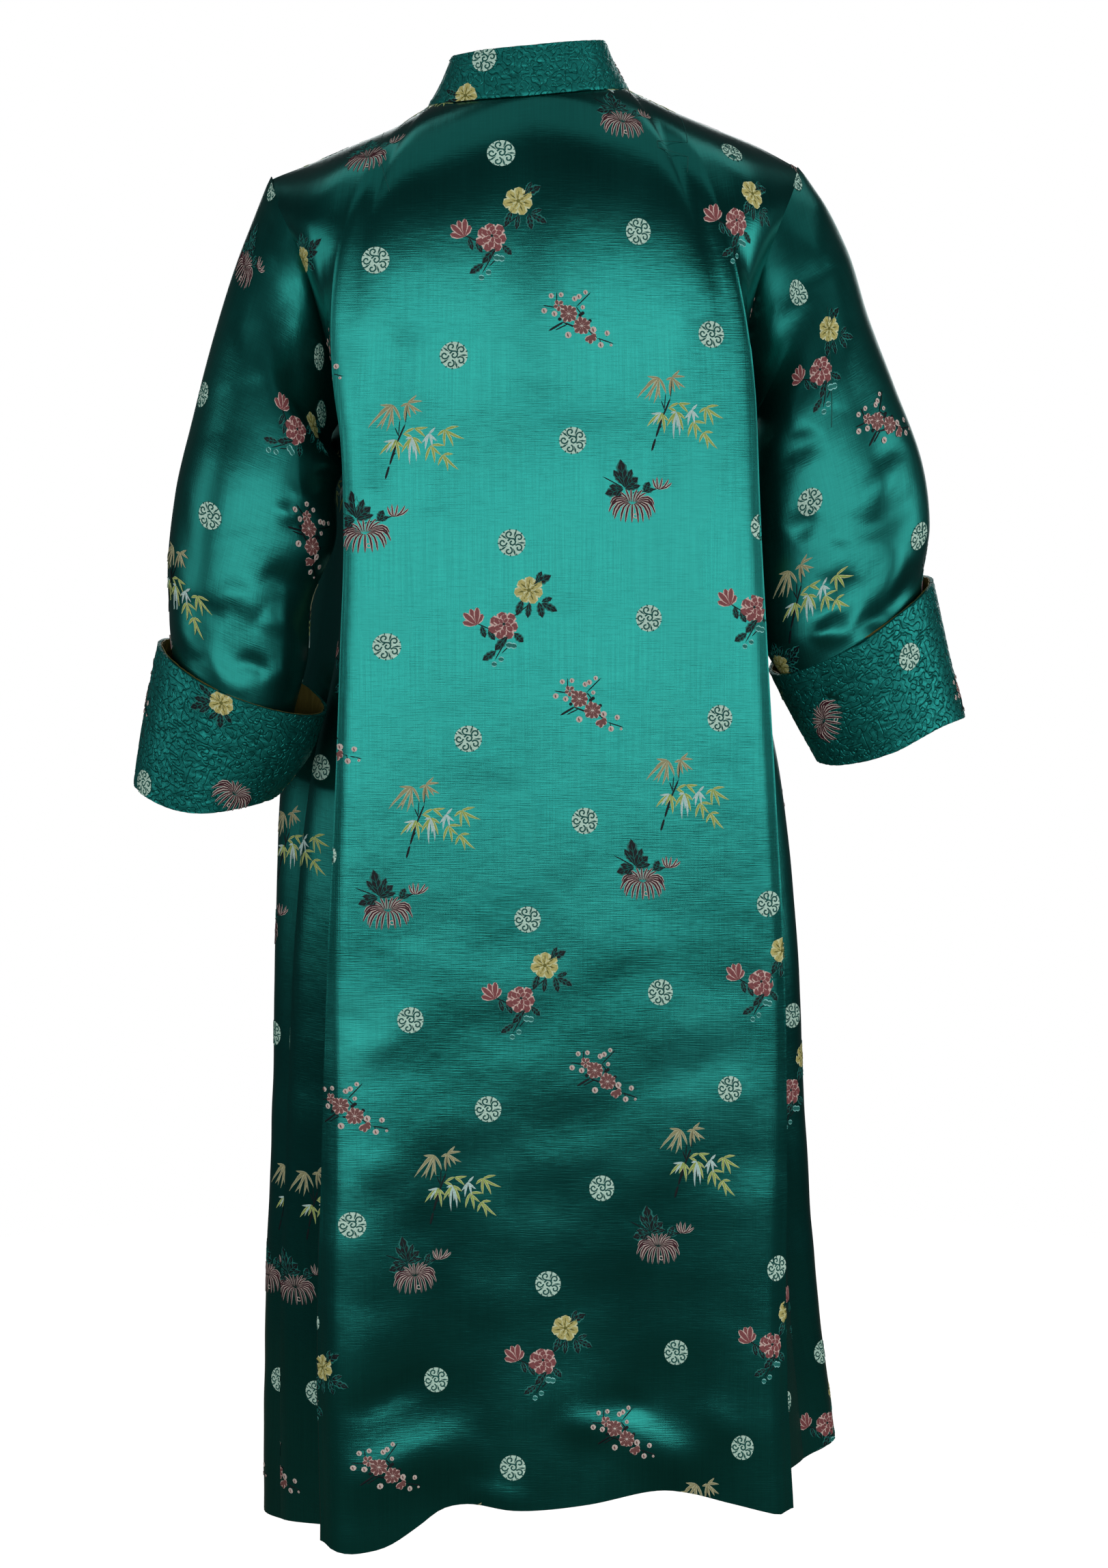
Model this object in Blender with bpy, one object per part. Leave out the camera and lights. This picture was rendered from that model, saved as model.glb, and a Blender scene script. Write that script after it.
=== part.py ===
"""Silk dressing gown, filled out and hollow, in metres: +Z up, the back towards +Y, the wearer's left towards +X.

Every piece is a wall on a surface worked out from the tables below. A place round the body is a number
t: 0 at the centre back, 5 at the side seam and armhole, 9 at the centre front; the wearer's left is
positive and the right negative. A place down the body is a number v: 0 at the shoulder seam and
neckline, 1 at the underarm level, 2 at the hem.
"""

import bpy
import numpy as np

# Walls and gaps
BODY_WALL = 0.0014
CUFF_WALL = 0.0026
LINING_WALL = 0.001
COLLAR_WALL = 0.0026
SEAM_GAP = 0.0003
SLEEVE_GAP = 0.0022
SLEEVE_GAP_BACK = 0.0024
COLLAR_GAP = 0.0025
COLLAR_LAP = 0.018
FRONT_OPENING = 0.002
QUILT_RISE = 0.0007

UNDERARM = -0.245
FOLD_T = 3.0
FOLD_CRISP = 0.85
NECK_BACK_T = 2.2
SIDE_T = 5.0
NECK_FRONT_T = 7.0
FRONT_T = 9.0

# Plan of the body at each height. bend: edge of the deep back fold. tuck: its root. seam: side seam.
# side: the widest place. front: the turn into the front.
#   z       bend_x  bend_y  tuck_x  tuck_y  seam_x  seam_y  side_x  side_y   front_x front_y
LEFT = (
    (-0.180, 0.1600, 0.082, 0.1560, 0.052, 0.1520, 0.006, 0.1400, -0.045, 0.096, -0.100),
    (-0.245, 0.1470, 0.085, 0.1390, 0.052, 0.1470, 0.004, 0.1450, -0.050, 0.102, -0.118),
    (-0.320, 0.1434, 0.088, 0.1280, 0.055, 0.1460, 0.002, 0.1660, -0.055, 0.108, -0.124),
    (-0.420, 0.1468, 0.092, 0.1260, 0.056, 0.1550, 0.004, 0.1860, -0.055, 0.118, -0.126),
    (-0.530, 0.1514, 0.097, 0.1300, 0.055, 0.1780, 0.004, 0.2010, -0.040, 0.130, -0.124),
    (-0.650, 0.1576, 0.102, 0.1360, 0.055, 0.1910, 0.006, 0.2050, -0.032, 0.138, -0.126),
    (-0.800, 0.1632, 0.108, 0.1420, 0.056, 0.1990, 0.008, 0.2080, -0.030, 0.142, -0.132),
    (-0.950, 0.1680, 0.114, 0.1480, 0.058, 0.2060, 0.008, 0.2150, -0.030, 0.148, -0.138),
    (-1.100, 0.1665, 0.120, 0.1510, 0.066, 0.2080, 0.010, 0.2195, -0.030, 0.152, -0.144),
)
RIGHT = (
    (-0.180, 0.1640, 0.082, 0.1590, 0.052, 0.1530, 0.006, 0.1420, -0.045, 0.096, -0.100),
    (-0.245, 0.1670, 0.086, 0.1530, 0.054, 0.1490, 0.004, 0.1460, -0.050, 0.102, -0.118),
    (-0.320, 0.1702, 0.090, 0.1500, 0.056, 0.1490, 0.002, 0.1600, -0.055, 0.108, -0.124),
    (-0.420, 0.1762, 0.094, 0.1530, 0.058, 0.1560, 0.004, 0.1720, -0.055, 0.116, -0.126),
    (-0.530, 0.1832, 0.098, 0.1590, 0.058, 0.1730, 0.004, 0.1940, -0.042, 0.126, -0.126),
    (-0.650, 0.1902, 0.102, 0.1650, 0.058, 0.1860, 0.006, 0.2075, -0.034, 0.136, -0.128),
    (-0.800, 0.1936, 0.108, 0.1690, 0.060, 0.1950, 0.006, 0.2158, -0.032, 0.144, -0.132),
    (-0.950, 0.1942, 0.112, 0.1710, 0.062, 0.2050, 0.002, 0.2275, -0.034, 0.152, -0.138),
    (-1.100, 0.2015, 0.116, 0.1790, 0.066, 0.2200, -0.004, 0.2470, -0.040, 0.160, -0.144),
)
#   z       back_y  front_y
MIDDLE = (
    (-0.180, 0.090, -0.106),
    (-0.245, 0.094, -0.125),
    (-0.320, 0.097, -0.132),
    (-0.420, 0.100, -0.135),
    (-0.530, 0.104, -0.136),
    (-0.650, 0.109, -0.140),
    (-0.800, 0.116, -0.146),
    (-0.950, 0.123, -0.152),
    (-1.100, 0.130, -0.158),
)
# Hem height round the body
#   t     z
HEM = (
    (-9.0, -1.092), (-8.0, -1.090), (-7.0, -1.086), (-6.0, -1.080), (-5.0, -1.090), (-4.0, -1.094),
    (-3.0, -1.085), (-2.2, -1.086), (-1.6, -1.079), (-1.0, -1.071), (-0.4, -1.080), (0.2, -1.083),
    (0.6, -1.080), (0.85, -1.085), (1.1, -1.098), (1.4, -1.110), (1.8, -1.114), (2.4, -1.112),
    (3.0, -1.109), (4.0, -1.122), (5.0, -1.136), (6.0, -1.133), (7.0, -1.112), (8.0, -1.097), (9.0, -1.092),
)
# Soft upright folds in the skirt: place, half width in t, depth, height where the fold starts
#   t     width  depth   start
FOLDS = (
    (2.0, 0.75, 0.014, -0.62),
    (0.9, 0.55, -0.008, -0.80),
    (0.1, 0.50, 0.006, -0.86),
    (-1.0, 0.55, -0.009, -0.78),
    (-2.1, 0.60, 0.008, -0.70),
    (6.5, 0.50, 0.010, -0.45),
    (7.3, 0.40, -0.010, -0.50),
    (8.1, 0.40, 0.008, -0.40),
    (-6.4, 0.50, 0.012, -0.50),
    (-7.3, 0.45, -0.010, -0.42),
    (-8.2, 0.40, 0.008, -0.55),
)
# Shoulder seam from the neck to the sleeve, left and right
#   part   x      z
SHOULDER_LEFT = (
    (0.00, 0.0783, -0.0063), (0.25, 0.1050, -0.0225), (0.50, 0.1400, -0.0370),
    (0.75, 0.1740, -0.0512), (1.00, 0.2045, -0.0625),
)
SHOULDER_RIGHT = (
    (0.00, 0.0686, 0.0061), (0.25, 0.1010, -0.0090), (0.50, 0.1350, -0.0230),
    (0.75, 0.1700, -0.0370), (1.00, 0.2045, -0.0548),
)
NECK_BACK_Y = 0.056
NECK_FRONT_Y = -0.066
NECK_FRONT_DROP = 0.052
# Direction in which the cloth leaves its top edge: outwards, back, up
#   t     out     y       z
TOP_PULL = (
    (0.0, 0.000, 0.038, -0.036), (1.1, 0.014, 0.066, -0.028), (2.2, 0.020, 0.094, -0.016),
    (3.5, 0.004, 0.092, -0.014), (5.0, -0.006, 0.050, -0.026),
)
TOP_PULL_FRONT = (
    (5.0, -0.006, -0.045, -0.026), (6.0, 0.000, -0.052, -0.008), (7.0, 0.000, -0.042, -0.016),
    (8.0, 0.000, -0.026, -0.036), (9.0, 0.000, -0.016, -0.050),
)
ARMHOLE_REACH = 0.055
BACK_REACH = (0.012, 0.072)
BACK_RISE = (0.060, 0.130)
FRONT_RISE = 0.060

# Rings of a sleeve below the armhole: distance along, centre, half width, half depth, and the lean of
# the ring: its outer edge up, its back edge down (degrees)
#   along   x       y       z        wide    deep    outer_up  back_down
SLEEVE_LEFT = (
    (0.045, 0.1950, 0.004, -0.1910, 0.0735, 0.052, 65.0, 0.0),
    (0.095, 0.2020, 0.014, -0.2290, 0.0640, 0.055, 49.0, 2.0),
    (0.145, 0.2095, 0.026, -0.2710, 0.0580, 0.056, 29.0, 4.0),
    (0.205, 0.2200, 0.036, -0.3240, 0.0590, 0.054, 18.0, 6.0),
    (0.250, 0.2310, 0.039, -0.3680, 0.0540, 0.052, 16.0, 8.0),
    (0.300, 0.2300, 0.037, -0.4120, 0.0545, 0.045, 16.0, 10.0),
    (0.350, 0.2350, 0.033, -0.4600, 0.0490, 0.041, 14.0, 10.0),
)
SLEEVE_RIGHT = (
    (0.018, 0.1915, 0.003, -0.1590, 0.0870, 0.052, 71.0, 0.0),
    (0.050, 0.2035, 0.006, -0.1810, 0.0765, 0.053, 62.0, 0.0),
    (0.095, 0.2110, 0.014, -0.2160, 0.0670, 0.055, 48.0, 2.0),
    (0.145, 0.2210, 0.026, -0.2520, 0.0640, 0.056, 32.0, 4.0),
    (0.200, 0.2330, 0.036, -0.3020, 0.0690, 0.055, 22.0, 6.0),
    (0.250, 0.2370, 0.038, -0.3500, 0.0720, 0.053, 22.0, 8.0),
    (0.300, 0.2385, 0.036, -0.3950, 0.0660, 0.045, 24.0, 10.0),
    (0.345, 0.2530, 0.032, -0.4380, 0.0530, 0.041, 24.0, 10.0),
)
#   part   x       y       z        wide    deep    outer_up  back_down
CUFF_LEFT = (
    (0.0, 0.2270, 0.034, -0.4440, 0.0690, 0.054, 22.0, 11.0),
    (0.5, 0.2400, 0.030, -0.4900, 0.0650, 0.050, 13.0, 10.0),
    (1.0, 0.2570, 0.026, -0.5340, 0.0560, 0.046, 2.0, 10.0),
)
CUFF_RIGHT = (
    (0.0, 0.2450, 0.033, -0.4030, 0.0715, 0.054, 30.0, 11.0),
    (0.5, 0.2610, 0.029, -0.4480, 0.0650, 0.050, 24.0, 9.0),
    (1.0, 0.2780, 0.025, -0.4910, 0.0595, 0.046, 18.0, 7.0),
)
# Wavy edge of a cuff: turns round, height
CUFF_WAVES = ((2, 0.0025), (3, 0.0020))
SLEEVE_INSET = 0.0043
SLEEVE_END = 0.95

# Collar: place along each half from the centre back, height, lean towards the neck
#   part   height  lean
COLLAR = (
    (0.00, 0.0350, 0.006),
    (0.30, 0.0340, 0.012),
    (0.50, 0.0325, 0.017),
    (0.75, 0.0320, 0.014),
    (0.95, 0.0310, 0.008),
    (1.00, 0.0210, 0.006),
)

MATERIALS = {
    "silk_brocade": ((0.010, 0.155, 0.118), 0.34),
    "quilted_silk": ((0.010, 0.125, 0.098), 0.45),
    "gold_lining": ((0.225, 0.190, 0.045), 0.40),
}


def rows(table):
    """The first column of a table, and the rest of its columns."""
    values = np.array(table, float)
    return values[:, 0], values[:, 1:]


def smooth(table, where):
    """The table's columns at each place: cubic pieces that pass through the rows with no corner."""
    at, values = rows(table) if isinstance(table[0], tuple) else table
    slopes = np.gradient(values, at, axis=0)
    if at[0] > at[-1]:
        at, values, slopes = at[::-1], values[::-1], slopes[::-1]
    where = np.clip(np.asarray(where, float), at[0], at[-1])
    i = np.clip(np.searchsorted(at, where) - 1, 0, len(at) - 2)
    step = at[i + 1] - at[i]
    f = ((where - at[i]) / step)[..., None]
    step = step[..., None]
    return (
        (1 + 2 * f) * (1 - f) ** 2 * values[i]
        + f * (1 - f) ** 2 * step * slopes[i]
        + f**2 * (3 - 2 * f) * values[i + 1]
        + f**2 * (f - 1) * step * slopes[i + 1]
    )


def ramp(x):
    x = np.clip(x, 0, 1)
    return x * x * (3 - 2 * x)


def half_plan(table, z):
    """Nine plan points of one side, from the centre back to the centre front, at each height."""
    bx, by, tx, ty, sx, sy, wx, wy, fx, fy = np.moveaxis(smooth(table, z), -1, 0)
    back, front = np.moveaxis(smooth(MIDDLE, z), -1, 0)
    zero = np.zeros_like(bx)
    points = (
        (zero, back),
        (bx * 0.50, back - 0.001),
        (bx - 0.022, by + 0.0085),
        (bx, by + 0.0045),
        (tx, ty),
        (sx, sy),
        (wx, wy),
        (fx, fy),
        (fx * 0.5, front + 0.004),
        (zero, front),
    )
    return np.stack([np.stack(p, -1) for p in points], -2)


def plan_weights(t, crisp=1.0):
    """Weight of each of the 18 plan points round the body for a smooth closed curve through them, which is
    straightened where the back panel folds under, so that its edge is crisp."""
    t = np.mod(t, 18.0)
    k = np.floor(t).astype(int)
    f = t - k
    parts = (
        (-1, (-f + 2 * f**2 - f**3) / 2),
        (0, (2 - 5 * f**2 + 3 * f**3) / 2),
        (1, (f + 4 * f**2 - 3 * f**3) / 2),
        (2, (-(f**2) + f**3) / 2),
    )
    near = np.minimum(np.abs(t - FOLD_T), np.abs(t - 18 + FOLD_T))
    crisp = FOLD_CRISP * crisp * np.exp(-((near / 0.7) ** 2))
    straight = {-1: 0 * f, 0: 1 - f, 1: f, 2: 0 * f}
    weights = np.zeros(t.shape + (18,))
    for shift, value in parts:
        value = value + (straight[shift] - value) * crisp
        np.put_along_axis(
            weights,
            ((k + shift) % 18)[..., None],
            value[..., None] + np.take_along_axis(weights, ((k + shift) % 18)[..., None], -1),
            -1,
        )
    return weights


def body_plan(t, z, crisp=1.0):
    """The body at place t and height z, below the underarm."""
    left, right = half_plan(LEFT, z), half_plan(RIGHT, z)
    right = right * np.array((-1.0, 1.0))
    ring = np.concatenate([left, right[..., 8:0:-1, :]], -2)
    xy = (plan_weights(t, crisp)[..., None] * ring).sum(-2)
    for place, width, depth, start in FOLDS:
        push = depth * np.exp(-(((t - place) / width) ** 2)) * ramp((start - z) / 0.35)
        xy[..., 1] += np.where(np.abs(t) < SIDE_T, 1, -1) * push
    return np.concatenate([xy, z[..., None]], -1)


def top_edge(t):
    """Neckline and shoulder seam."""
    size = np.abs(t)
    left = t >= 0
    along = np.where(
        size <= SIDE_T,
        (size - NECK_BACK_T) / (SIDE_T - NECK_BACK_T),
        (NECK_FRONT_T - size) / (NECK_FRONT_T - SIDE_T),
    )
    seam = np.where(left[..., None], smooth(SHOULDER_LEFT, along), smooth(SHOULDER_RIGHT, along))
    x, z = seam[..., 0], seam[..., 1]
    y = 0.004 * np.sin(np.pi * np.clip(along, 0, 1))
    neck_left, neck_right = SHOULDER_LEFT[0], SHOULDER_RIGHT[0]
    side_x = np.where(left, neck_left[1], neck_right[1])
    side_z = np.where(left, neck_left[2], neck_right[2])
    back = size < NECK_BACK_T
    front = size > NECK_FRONT_T
    turn = np.where(back, size / NECK_BACK_T, (FRONT_T - size) / (FRONT_T - NECK_FRONT_T)) * np.pi / 2
    turn = np.clip(turn, 0, np.pi / 2)
    reach = np.where(back, NECK_BACK_Y, NECK_FRONT_Y)
    neck = back | front
    x = np.where(neck, side_x * np.sin(turn), x)
    y = np.where(neck, reach * np.cos(turn), y)
    z = np.where(back, side_z * np.sin(turn), z)
    z = np.where(front, side_z * np.sin(turn) - NECK_FRONT_DROP * np.cos(turn) ** 1.5, z)
    return np.stack([np.where(left, x, -x), y, z], -1)


def body(t, v, front):
    """The torso surface: below the underarm its plan at each height, above it a curve to the top edge."""
    t, v = np.broadcast_arrays(np.asarray(t, float), np.asarray(v, float))
    hem = smooth(HEM, t)[..., 0]
    low = body_plan(t, UNDERARM + (hem - UNDERARM) * np.clip(v - 1, 0, 1))
    crisp = ramp((v - 0.5) / 0.5)
    start = body_plan(t, np.full(t.shape, UNDERARM), crisp)
    up = (body_plan(t, np.full(t.shape, UNDERARM + 0.02), crisp) - start) / 0.02
    top = top_edge(t)
    size, side = np.abs(t), np.where(t >= 0, 1.0, -1.0)
    pull = smooth(TOP_PULL_FRONT if front else TOP_PULL, size)
    pull[..., 0] *= side
    near = ramp((6.6 - size) / 1.6) if front else ramp((size - FOLD_T) / (SIDE_T - FOLD_T))
    reach = np.zeros(t.shape + (3,))
    reach[..., 0] = 0 if front else near * side * BACK_REACH[0]
    reach[..., 1] = near * (-ARMHOLE_REACH if front else BACK_REACH[1])
    rise = BACK_RISE[0] + (BACK_RISE[1] - BACK_RISE[0]) * ramp(size / NECK_BACK_T)
    rise = np.where(front, FRONT_RISE, rise)[..., None]
    a, b = start, start + up * rise + reach
    c, d = top + pull, top
    f = (1 - np.clip(v, 0, 1))[..., None]
    high = (1 - f) ** 3 * a + 3 * f * (1 - f) ** 2 * b + 3 * f**2 * (1 - f) * c + f**3 * d
    return np.where(v[..., None] < 1, high, low)


def ring(table, at, turn, sign):
    """Points of the leaning oval at each place along a sleeve or cuff. turn 0: outer edge, 0.25: back."""
    x, y, z, wide, deep, up, down = np.moveaxis(smooth(table, at), -1, 0)
    up, down, angle = np.radians(up), np.radians(down), 2 * np.pi * turn
    across, back = wide * np.cos(angle), deep * np.sin(angle)
    return np.stack(
        [
            sign * (x + across * np.cos(up)),
            y + back * np.cos(down),
            z + across * np.sin(up) - back * np.sin(down),
        ],
        -1,
    )


def armhole(turn, sign):
    """The armhole: down the back edge from the shoulder, then up the front edge."""
    t = np.full(turn.shape, sign * SIDE_T)
    v = np.clip(np.where(turn <= 0.5, 2 * turn, 2 * (1 - turn)), 0, 1)
    return np.where((turn <= 0.5)[..., None], body(t, v, False), body(t, v, True))


def cuff(table, part, turn, sign):
    """The cuff's middle surface, with its wavy edges."""
    points = ring(table, part, turn, sign)
    for turns, height in CUFF_WAVES:
        points[..., 2] += height * np.sin(2 * np.pi * turns * turn + sign) * (0.3 + 0.7 * part)
    return points


def inset(points, distance, sign):
    """A closed grid of the left (1) or right (-1) arm moved inwards, along its own normals."""
    return points + normals(points, True) * (sign * distance)


def sleeve(table, cuff_table, part, turn, sign):
    """The sleeve, from the armhole through its rings to its end inside the cuff. part runs 0 to 1."""
    one = np.unique(turn)
    at = [0.0]
    loops = [armhole(one, sign)]
    for line in table:
        at.append(line[0])
        loops.append(ring(table, np.full(one.shape, line[0]), one, sign))
    end_part, end_turn = grid_of(SLEEVE_END + np.array((-0.1, 0.0, 0.04)), one)
    last = inset(cuff(cuff_table, end_part, end_turn, sign), SLEEVE_INSET, sign)[1]
    at.append(at[-1] + 0.052)
    loops.append(last)
    loops = np.array(loops)
    along = np.array(at)
    flat = loops.reshape(len(loops), -1)
    points = smooth((along, flat), part[:, 0] * at[-1]).reshape(len(part), len(one), 3)
    gap = SLEEVE_GAP + SLEEVE_GAP_BACK * np.clip(np.sin(2 * np.pi * one), 0, 1) ** 0.5
    return pull_apart(points, gap[:, None], 0, True)


def normals(points, closed):
    """Unit normals of a grid of points [down, round, xyz], pointing out of the garment."""
    if closed:
        wide = np.concatenate([points[:, -1:], points, points[:, :1]], 1)
        across = (wide[:, 2:] - wide[:, :-2]) / 2
    else:
        across = np.gradient(points, axis=1)
    n = np.cross(across, np.gradient(points, axis=0))
    return n / np.maximum(np.linalg.norm(n, axis=-1, keepdims=True), 1e-9)


def body_normals(t, v, front):
    """Unit normals of the torso, worked out from the surface itself, so that panels share them at a seam."""
    step = 1e-3
    size, side = np.abs(t), np.where(t >= 0, 1.0, -1.0)
    if front:
        more, less = size + step, np.where(v < 1, np.maximum(size - step, SIDE_T), size - step)
        across = (body(side * more, v, True) - body(side * less, v, True)) * side[..., None]
    else:
        limit = np.where(v < 1, SIDE_T, FRONT_T)
        across = body(np.minimum(t + step, limit), v, False) - body(np.maximum(t - step, -limit), v, False)
    low = np.minimum(np.where(v >= 1, v, np.maximum(v - step, 0)), 2 - step)
    down = body(t, low + step, front) - body(t, low, front)
    n = np.cross(across, down)
    return n / np.maximum(np.linalg.norm(n, axis=-1, keepdims=True), 1e-12)


def square_to_middle(n, column):
    """Turns one column of normals into the centre plane, so that two edges that meet there stay parallel."""
    n[:, column, 0] = 0
    n[:, column] /= np.linalg.norm(n[:, column], axis=-1, keepdims=True)
    return n


def shared_normals(t, v, front):
    """The torso's normals, with those of the back and front panel averaged along the shoulder seam."""
    n = body_normals(t, v, front)
    size, side = np.abs(t[0]), np.sign(t[0] + 1e-9)
    share = (SIDE_T - NECK_BACK_T) / (NECK_FRONT_T - SIDE_T)
    if front:
        other, seam = NECK_BACK_T + (NECK_FRONT_T - size) * share, size < NECK_FRONT_T + 1e-6
    else:
        other, seam = NECK_FRONT_T - (size - NECK_BACK_T) / share, size > NECK_BACK_T - 1e-6
    across = body_normals(side * other, np.zeros(other.shape), not front)
    mean = n[0] + across
    mean /= np.linalg.norm(mean, axis=-1, keepdims=True)
    n[0] = np.where(seam[:, None], mean, n[0])
    return n


def wall(name, points, thickness, closed, material, out=1, relief=None, given=None):
    """One closed body: the grid moved out and in by half the thickness, and its rims."""
    n = (normals(points, closed) if given is None else given) * out
    outer = points + n * (thickness / 2)
    inner = points - n * (thickness / 2)
    if relief is not None:
        outer = outer + n * relief[..., None]
    down, across = points.shape[:2]
    grid = np.arange(down * across).reshape(down, across)
    if closed:
        grid = np.concatenate([grid, grid[:, :1]], 1)
    a, b, c, d = grid[:-1, :-1], grid[:-1, 1:], grid[1:, 1:], grid[1:, :-1]
    quads = np.stack([a, d, c, b], -1).reshape(-1, 4)
    far = quads[:, ::-1] + down * across
    rims = [rim(grid[0], down * across), rim(grid[-1][::-1], down * across)]
    if not closed:
        rims += [rim(grid[::-1, 0], down * across), rim(grid[:, -1], down * across)]
    faces = np.concatenate([quads, far] + rims)
    corners = np.concatenate([outer.reshape(-1, 3), inner.reshape(-1, 3)])
    if signed_volume(corners, faces) < 0:
        faces = faces[:, ::-1]
    mesh = bpy.data.meshes.new(name)
    mesh.from_pydata(corners.tolist(), [], faces.tolist())
    mesh.materials.append(material)
    for polygon in mesh.polygons:
        polygon.use_smooth = True
    made = bpy.data.objects.new(name, mesh)
    bpy.context.scene.collection.objects.link(made)
    return made


def rim(line, shift):
    """Faces that join the edge of the outer side to the edge of the inner side."""
    return np.stack([line[:-1], line[1:], line[1:] + shift, line[:-1] + shift], -1)


def signed_volume(points, faces):
    p = points[faces]
    return np.einsum("ij,ij->i", p[:, 0], np.cross(p[:, 1], p[:, 2])).sum() + np.einsum(
        "ij,ij->i", p[:, 0], np.cross(p[:, 2], p[:, 3])
    ).sum()


def material(name, kind):
    colour, roughness = MATERIALS[kind]
    made = bpy.data.materials.new(name + "_" + kind)
    made.use_nodes = True
    shader = made.node_tree.nodes["Principled BSDF"]
    shader.inputs["Base Color"].default_value = (*colour, 1.0)
    shader.inputs["Roughness"].default_value = roughness
    shader.inputs["Metallic"].default_value = 0.0
    made.diffuse_color = (*colour, 1.0)
    return made


def grid_of(down, across):
    return np.broadcast_arrays(np.asarray(down, float)[:, None], np.asarray(across, float)[None, :])


def pull_apart(points, first, last, along_down=False):
    """Moves a grid's first and last line of points inwards by a given distance, to leave a seam gap."""
    p = np.swapaxes(points, 0, 1).copy() if along_down else points.copy()
    for edge, inner, gap in ((0, 1, first), (-1, -2, last)):
        way = p[:, inner] - p[:, edge]
        p[:, edge] += way / np.linalg.norm(way, axis=-1, keepdims=True) * gap
    return np.swapaxes(p, 0, 1) if along_down else p


def quilting(shape):
    """Uneven rise of the quilted cells at the grid's points."""
    i, j = np.indices(shape)
    wave = np.sin(i * 2.9 + 1.7 * np.sin(j * 1.3)) * np.sin(j * 2.7 + 1.3 * np.cos(i * 2.1))
    rise = QUILT_RISE * (0.5 + 0.5 * wave)
    rise[0] = rise[-1] = 0
    return rise


def back_places():
    half = np.array([0.55, 1.1, 1.65, 2.2, 2.5, 2.75, 3.0, 3.25, 3.5, 3.8, 4.1, 4.4, 4.7, 5.0])
    return np.concatenate([-half[::-1], [0.0], half])


def make_body():
    down = np.concatenate([np.linspace(0, 1, 12)[:-1], 1 + np.linspace(0, 1, 21)])
    v, t = grid_of(down, back_places())
    points = body(t, v, False)
    points = pull_apart(points, SEAM_GAP / 2, SEAM_GAP / 2)
    points = pull_apart(points, SEAM_GAP / 2, 0, True)
    silk = material("back", "silk_brocade")
    wall("back", points, BODY_WALL, False, silk, given=shared_normals(t, v, False))
    for name, sign in (("front_left", 1), ("front_right", -1)):
        places = np.array([5.0, 5.35, 5.7, 6.0, 6.3, 6.65, 7.0, 7.3, 7.6, 7.9, 8.2, 8.5, 8.75, 9.0])
        v, t = grid_of(down, sign * places)
        points = body(t, v, True)
        points = pull_apart(points, SEAM_GAP / 2, FRONT_OPENING / 2)
        points = pull_apart(points, SEAM_GAP / 2, 0, True)
        silk = material(name, "silk_brocade")
        n = square_to_middle(shared_normals(t, v, True), -1)
        wall(name, points, BODY_WALL, False, silk, given=n)


def make_sleeve(side, sign, table, cuff_table):
    turns = np.arange(28) / 28
    part, turn = grid_of(np.linspace(0, 1, 15), turns)
    points = sleeve(table, cuff_table, part, turn, sign)
    name = "sleeve_" + side
    wall(name, points, BODY_WALL, True, material(name, "silk_brocade"), -sign)

    part, turn = grid_of(np.linspace(0, 1, 8), np.arange(38) / 38)
    points = cuff(cuff_table, part, turn, sign)
    name = "cuff_" + side
    wall(name, points, CUFF_WALL, True, material(name, "quilted_silk"), -sign, quilting(part.shape))

    part, turn = grid_of(np.linspace(0.0, 1, 5), np.arange(30) / 30)
    points = cuff(cuff_table, part, turn, sign)
    points = inset(points, CUFF_WALL / 2 + SEAM_GAP + LINING_WALL / 2 + 0.0003, sign)
    name = "cuff_lining_" + side
    wall(name, points, LINING_WALL, True, material(name, "gold_lining"), -sign)


def on_body(t, v, front, out):
    """Points of the torso moved out along its normals, for places of the back and the front together."""
    back = body(t, v, False) + body_normals(t, v, False) * out
    fore = body(t, v, True) + body_normals(t, v, True) * out
    return np.where(front[..., None], fore, back)


def collar(part, rise, sign):
    """A collar half: part runs from the centre back round to the centre front, rise from 1 to 0."""
    front = part > 0.5
    t = np.where(front, NECK_FRONT_T + (part - 0.5) / 0.5 * 2.0, part / 0.5 * NECK_BACK_T)
    below = COLLAR_LAP * (1 - np.exp(-(((part - 0.5) / 0.12) ** 2)))
    base = on_body(sign * t, below, front, COLLAR_GAP)
    height, lean = np.moveaxis(smooth(COLLAR, part), -1, 0)
    middle = np.array((0.005, 0.0))
    way = middle - base[..., :2]
    way = way / np.linalg.norm(way, axis=-1, keepdims=True)
    points = base.copy()
    points[..., :2] += way * (lean * rise ** 0.8)[..., None]
    points[..., 2] += height * rise
    return points


def make_collar():
    for name, sign in (("collar_left", 1), ("collar_right", -1)):
        rise, part = grid_of(np.linspace(1, 0, 5), np.linspace(0, 1, 17))
        points = collar(part, rise, sign)
        points = pull_apart(points, SEAM_GAP / 2, FRONT_OPENING / 2)
        n = square_to_middle(square_to_middle(normals(points, False) * sign, 0), -1)
        silk = material(name, "quilted_silk")
        wall(name, points, COLLAR_WALL, False, silk, 1, quilting(part.shape), n)


def main():
    for existing in list(bpy.data.objects):
        bpy.data.objects.remove(existing)
    make_body()
    make_sleeve("left", 1, SLEEVE_LEFT, CUFF_LEFT)
    make_sleeve("right", -1, SLEEVE_RIGHT, CUFF_RIGHT)
    make_collar()


main()
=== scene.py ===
"""Looks of the silk dressing gown, in metres: +Z up, the back towards +Y, the wearer's left towards +X.

Each panel is a thin shell worked out on the form of its solid: a grid of points whose rows run down the
cloth and whose columns run across it. Creases push the grid along its normals. The brocade's flowers lie on
the flat cloth, where a counts metres across and b metres down, and are carried onto the panel from there.
"""

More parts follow.
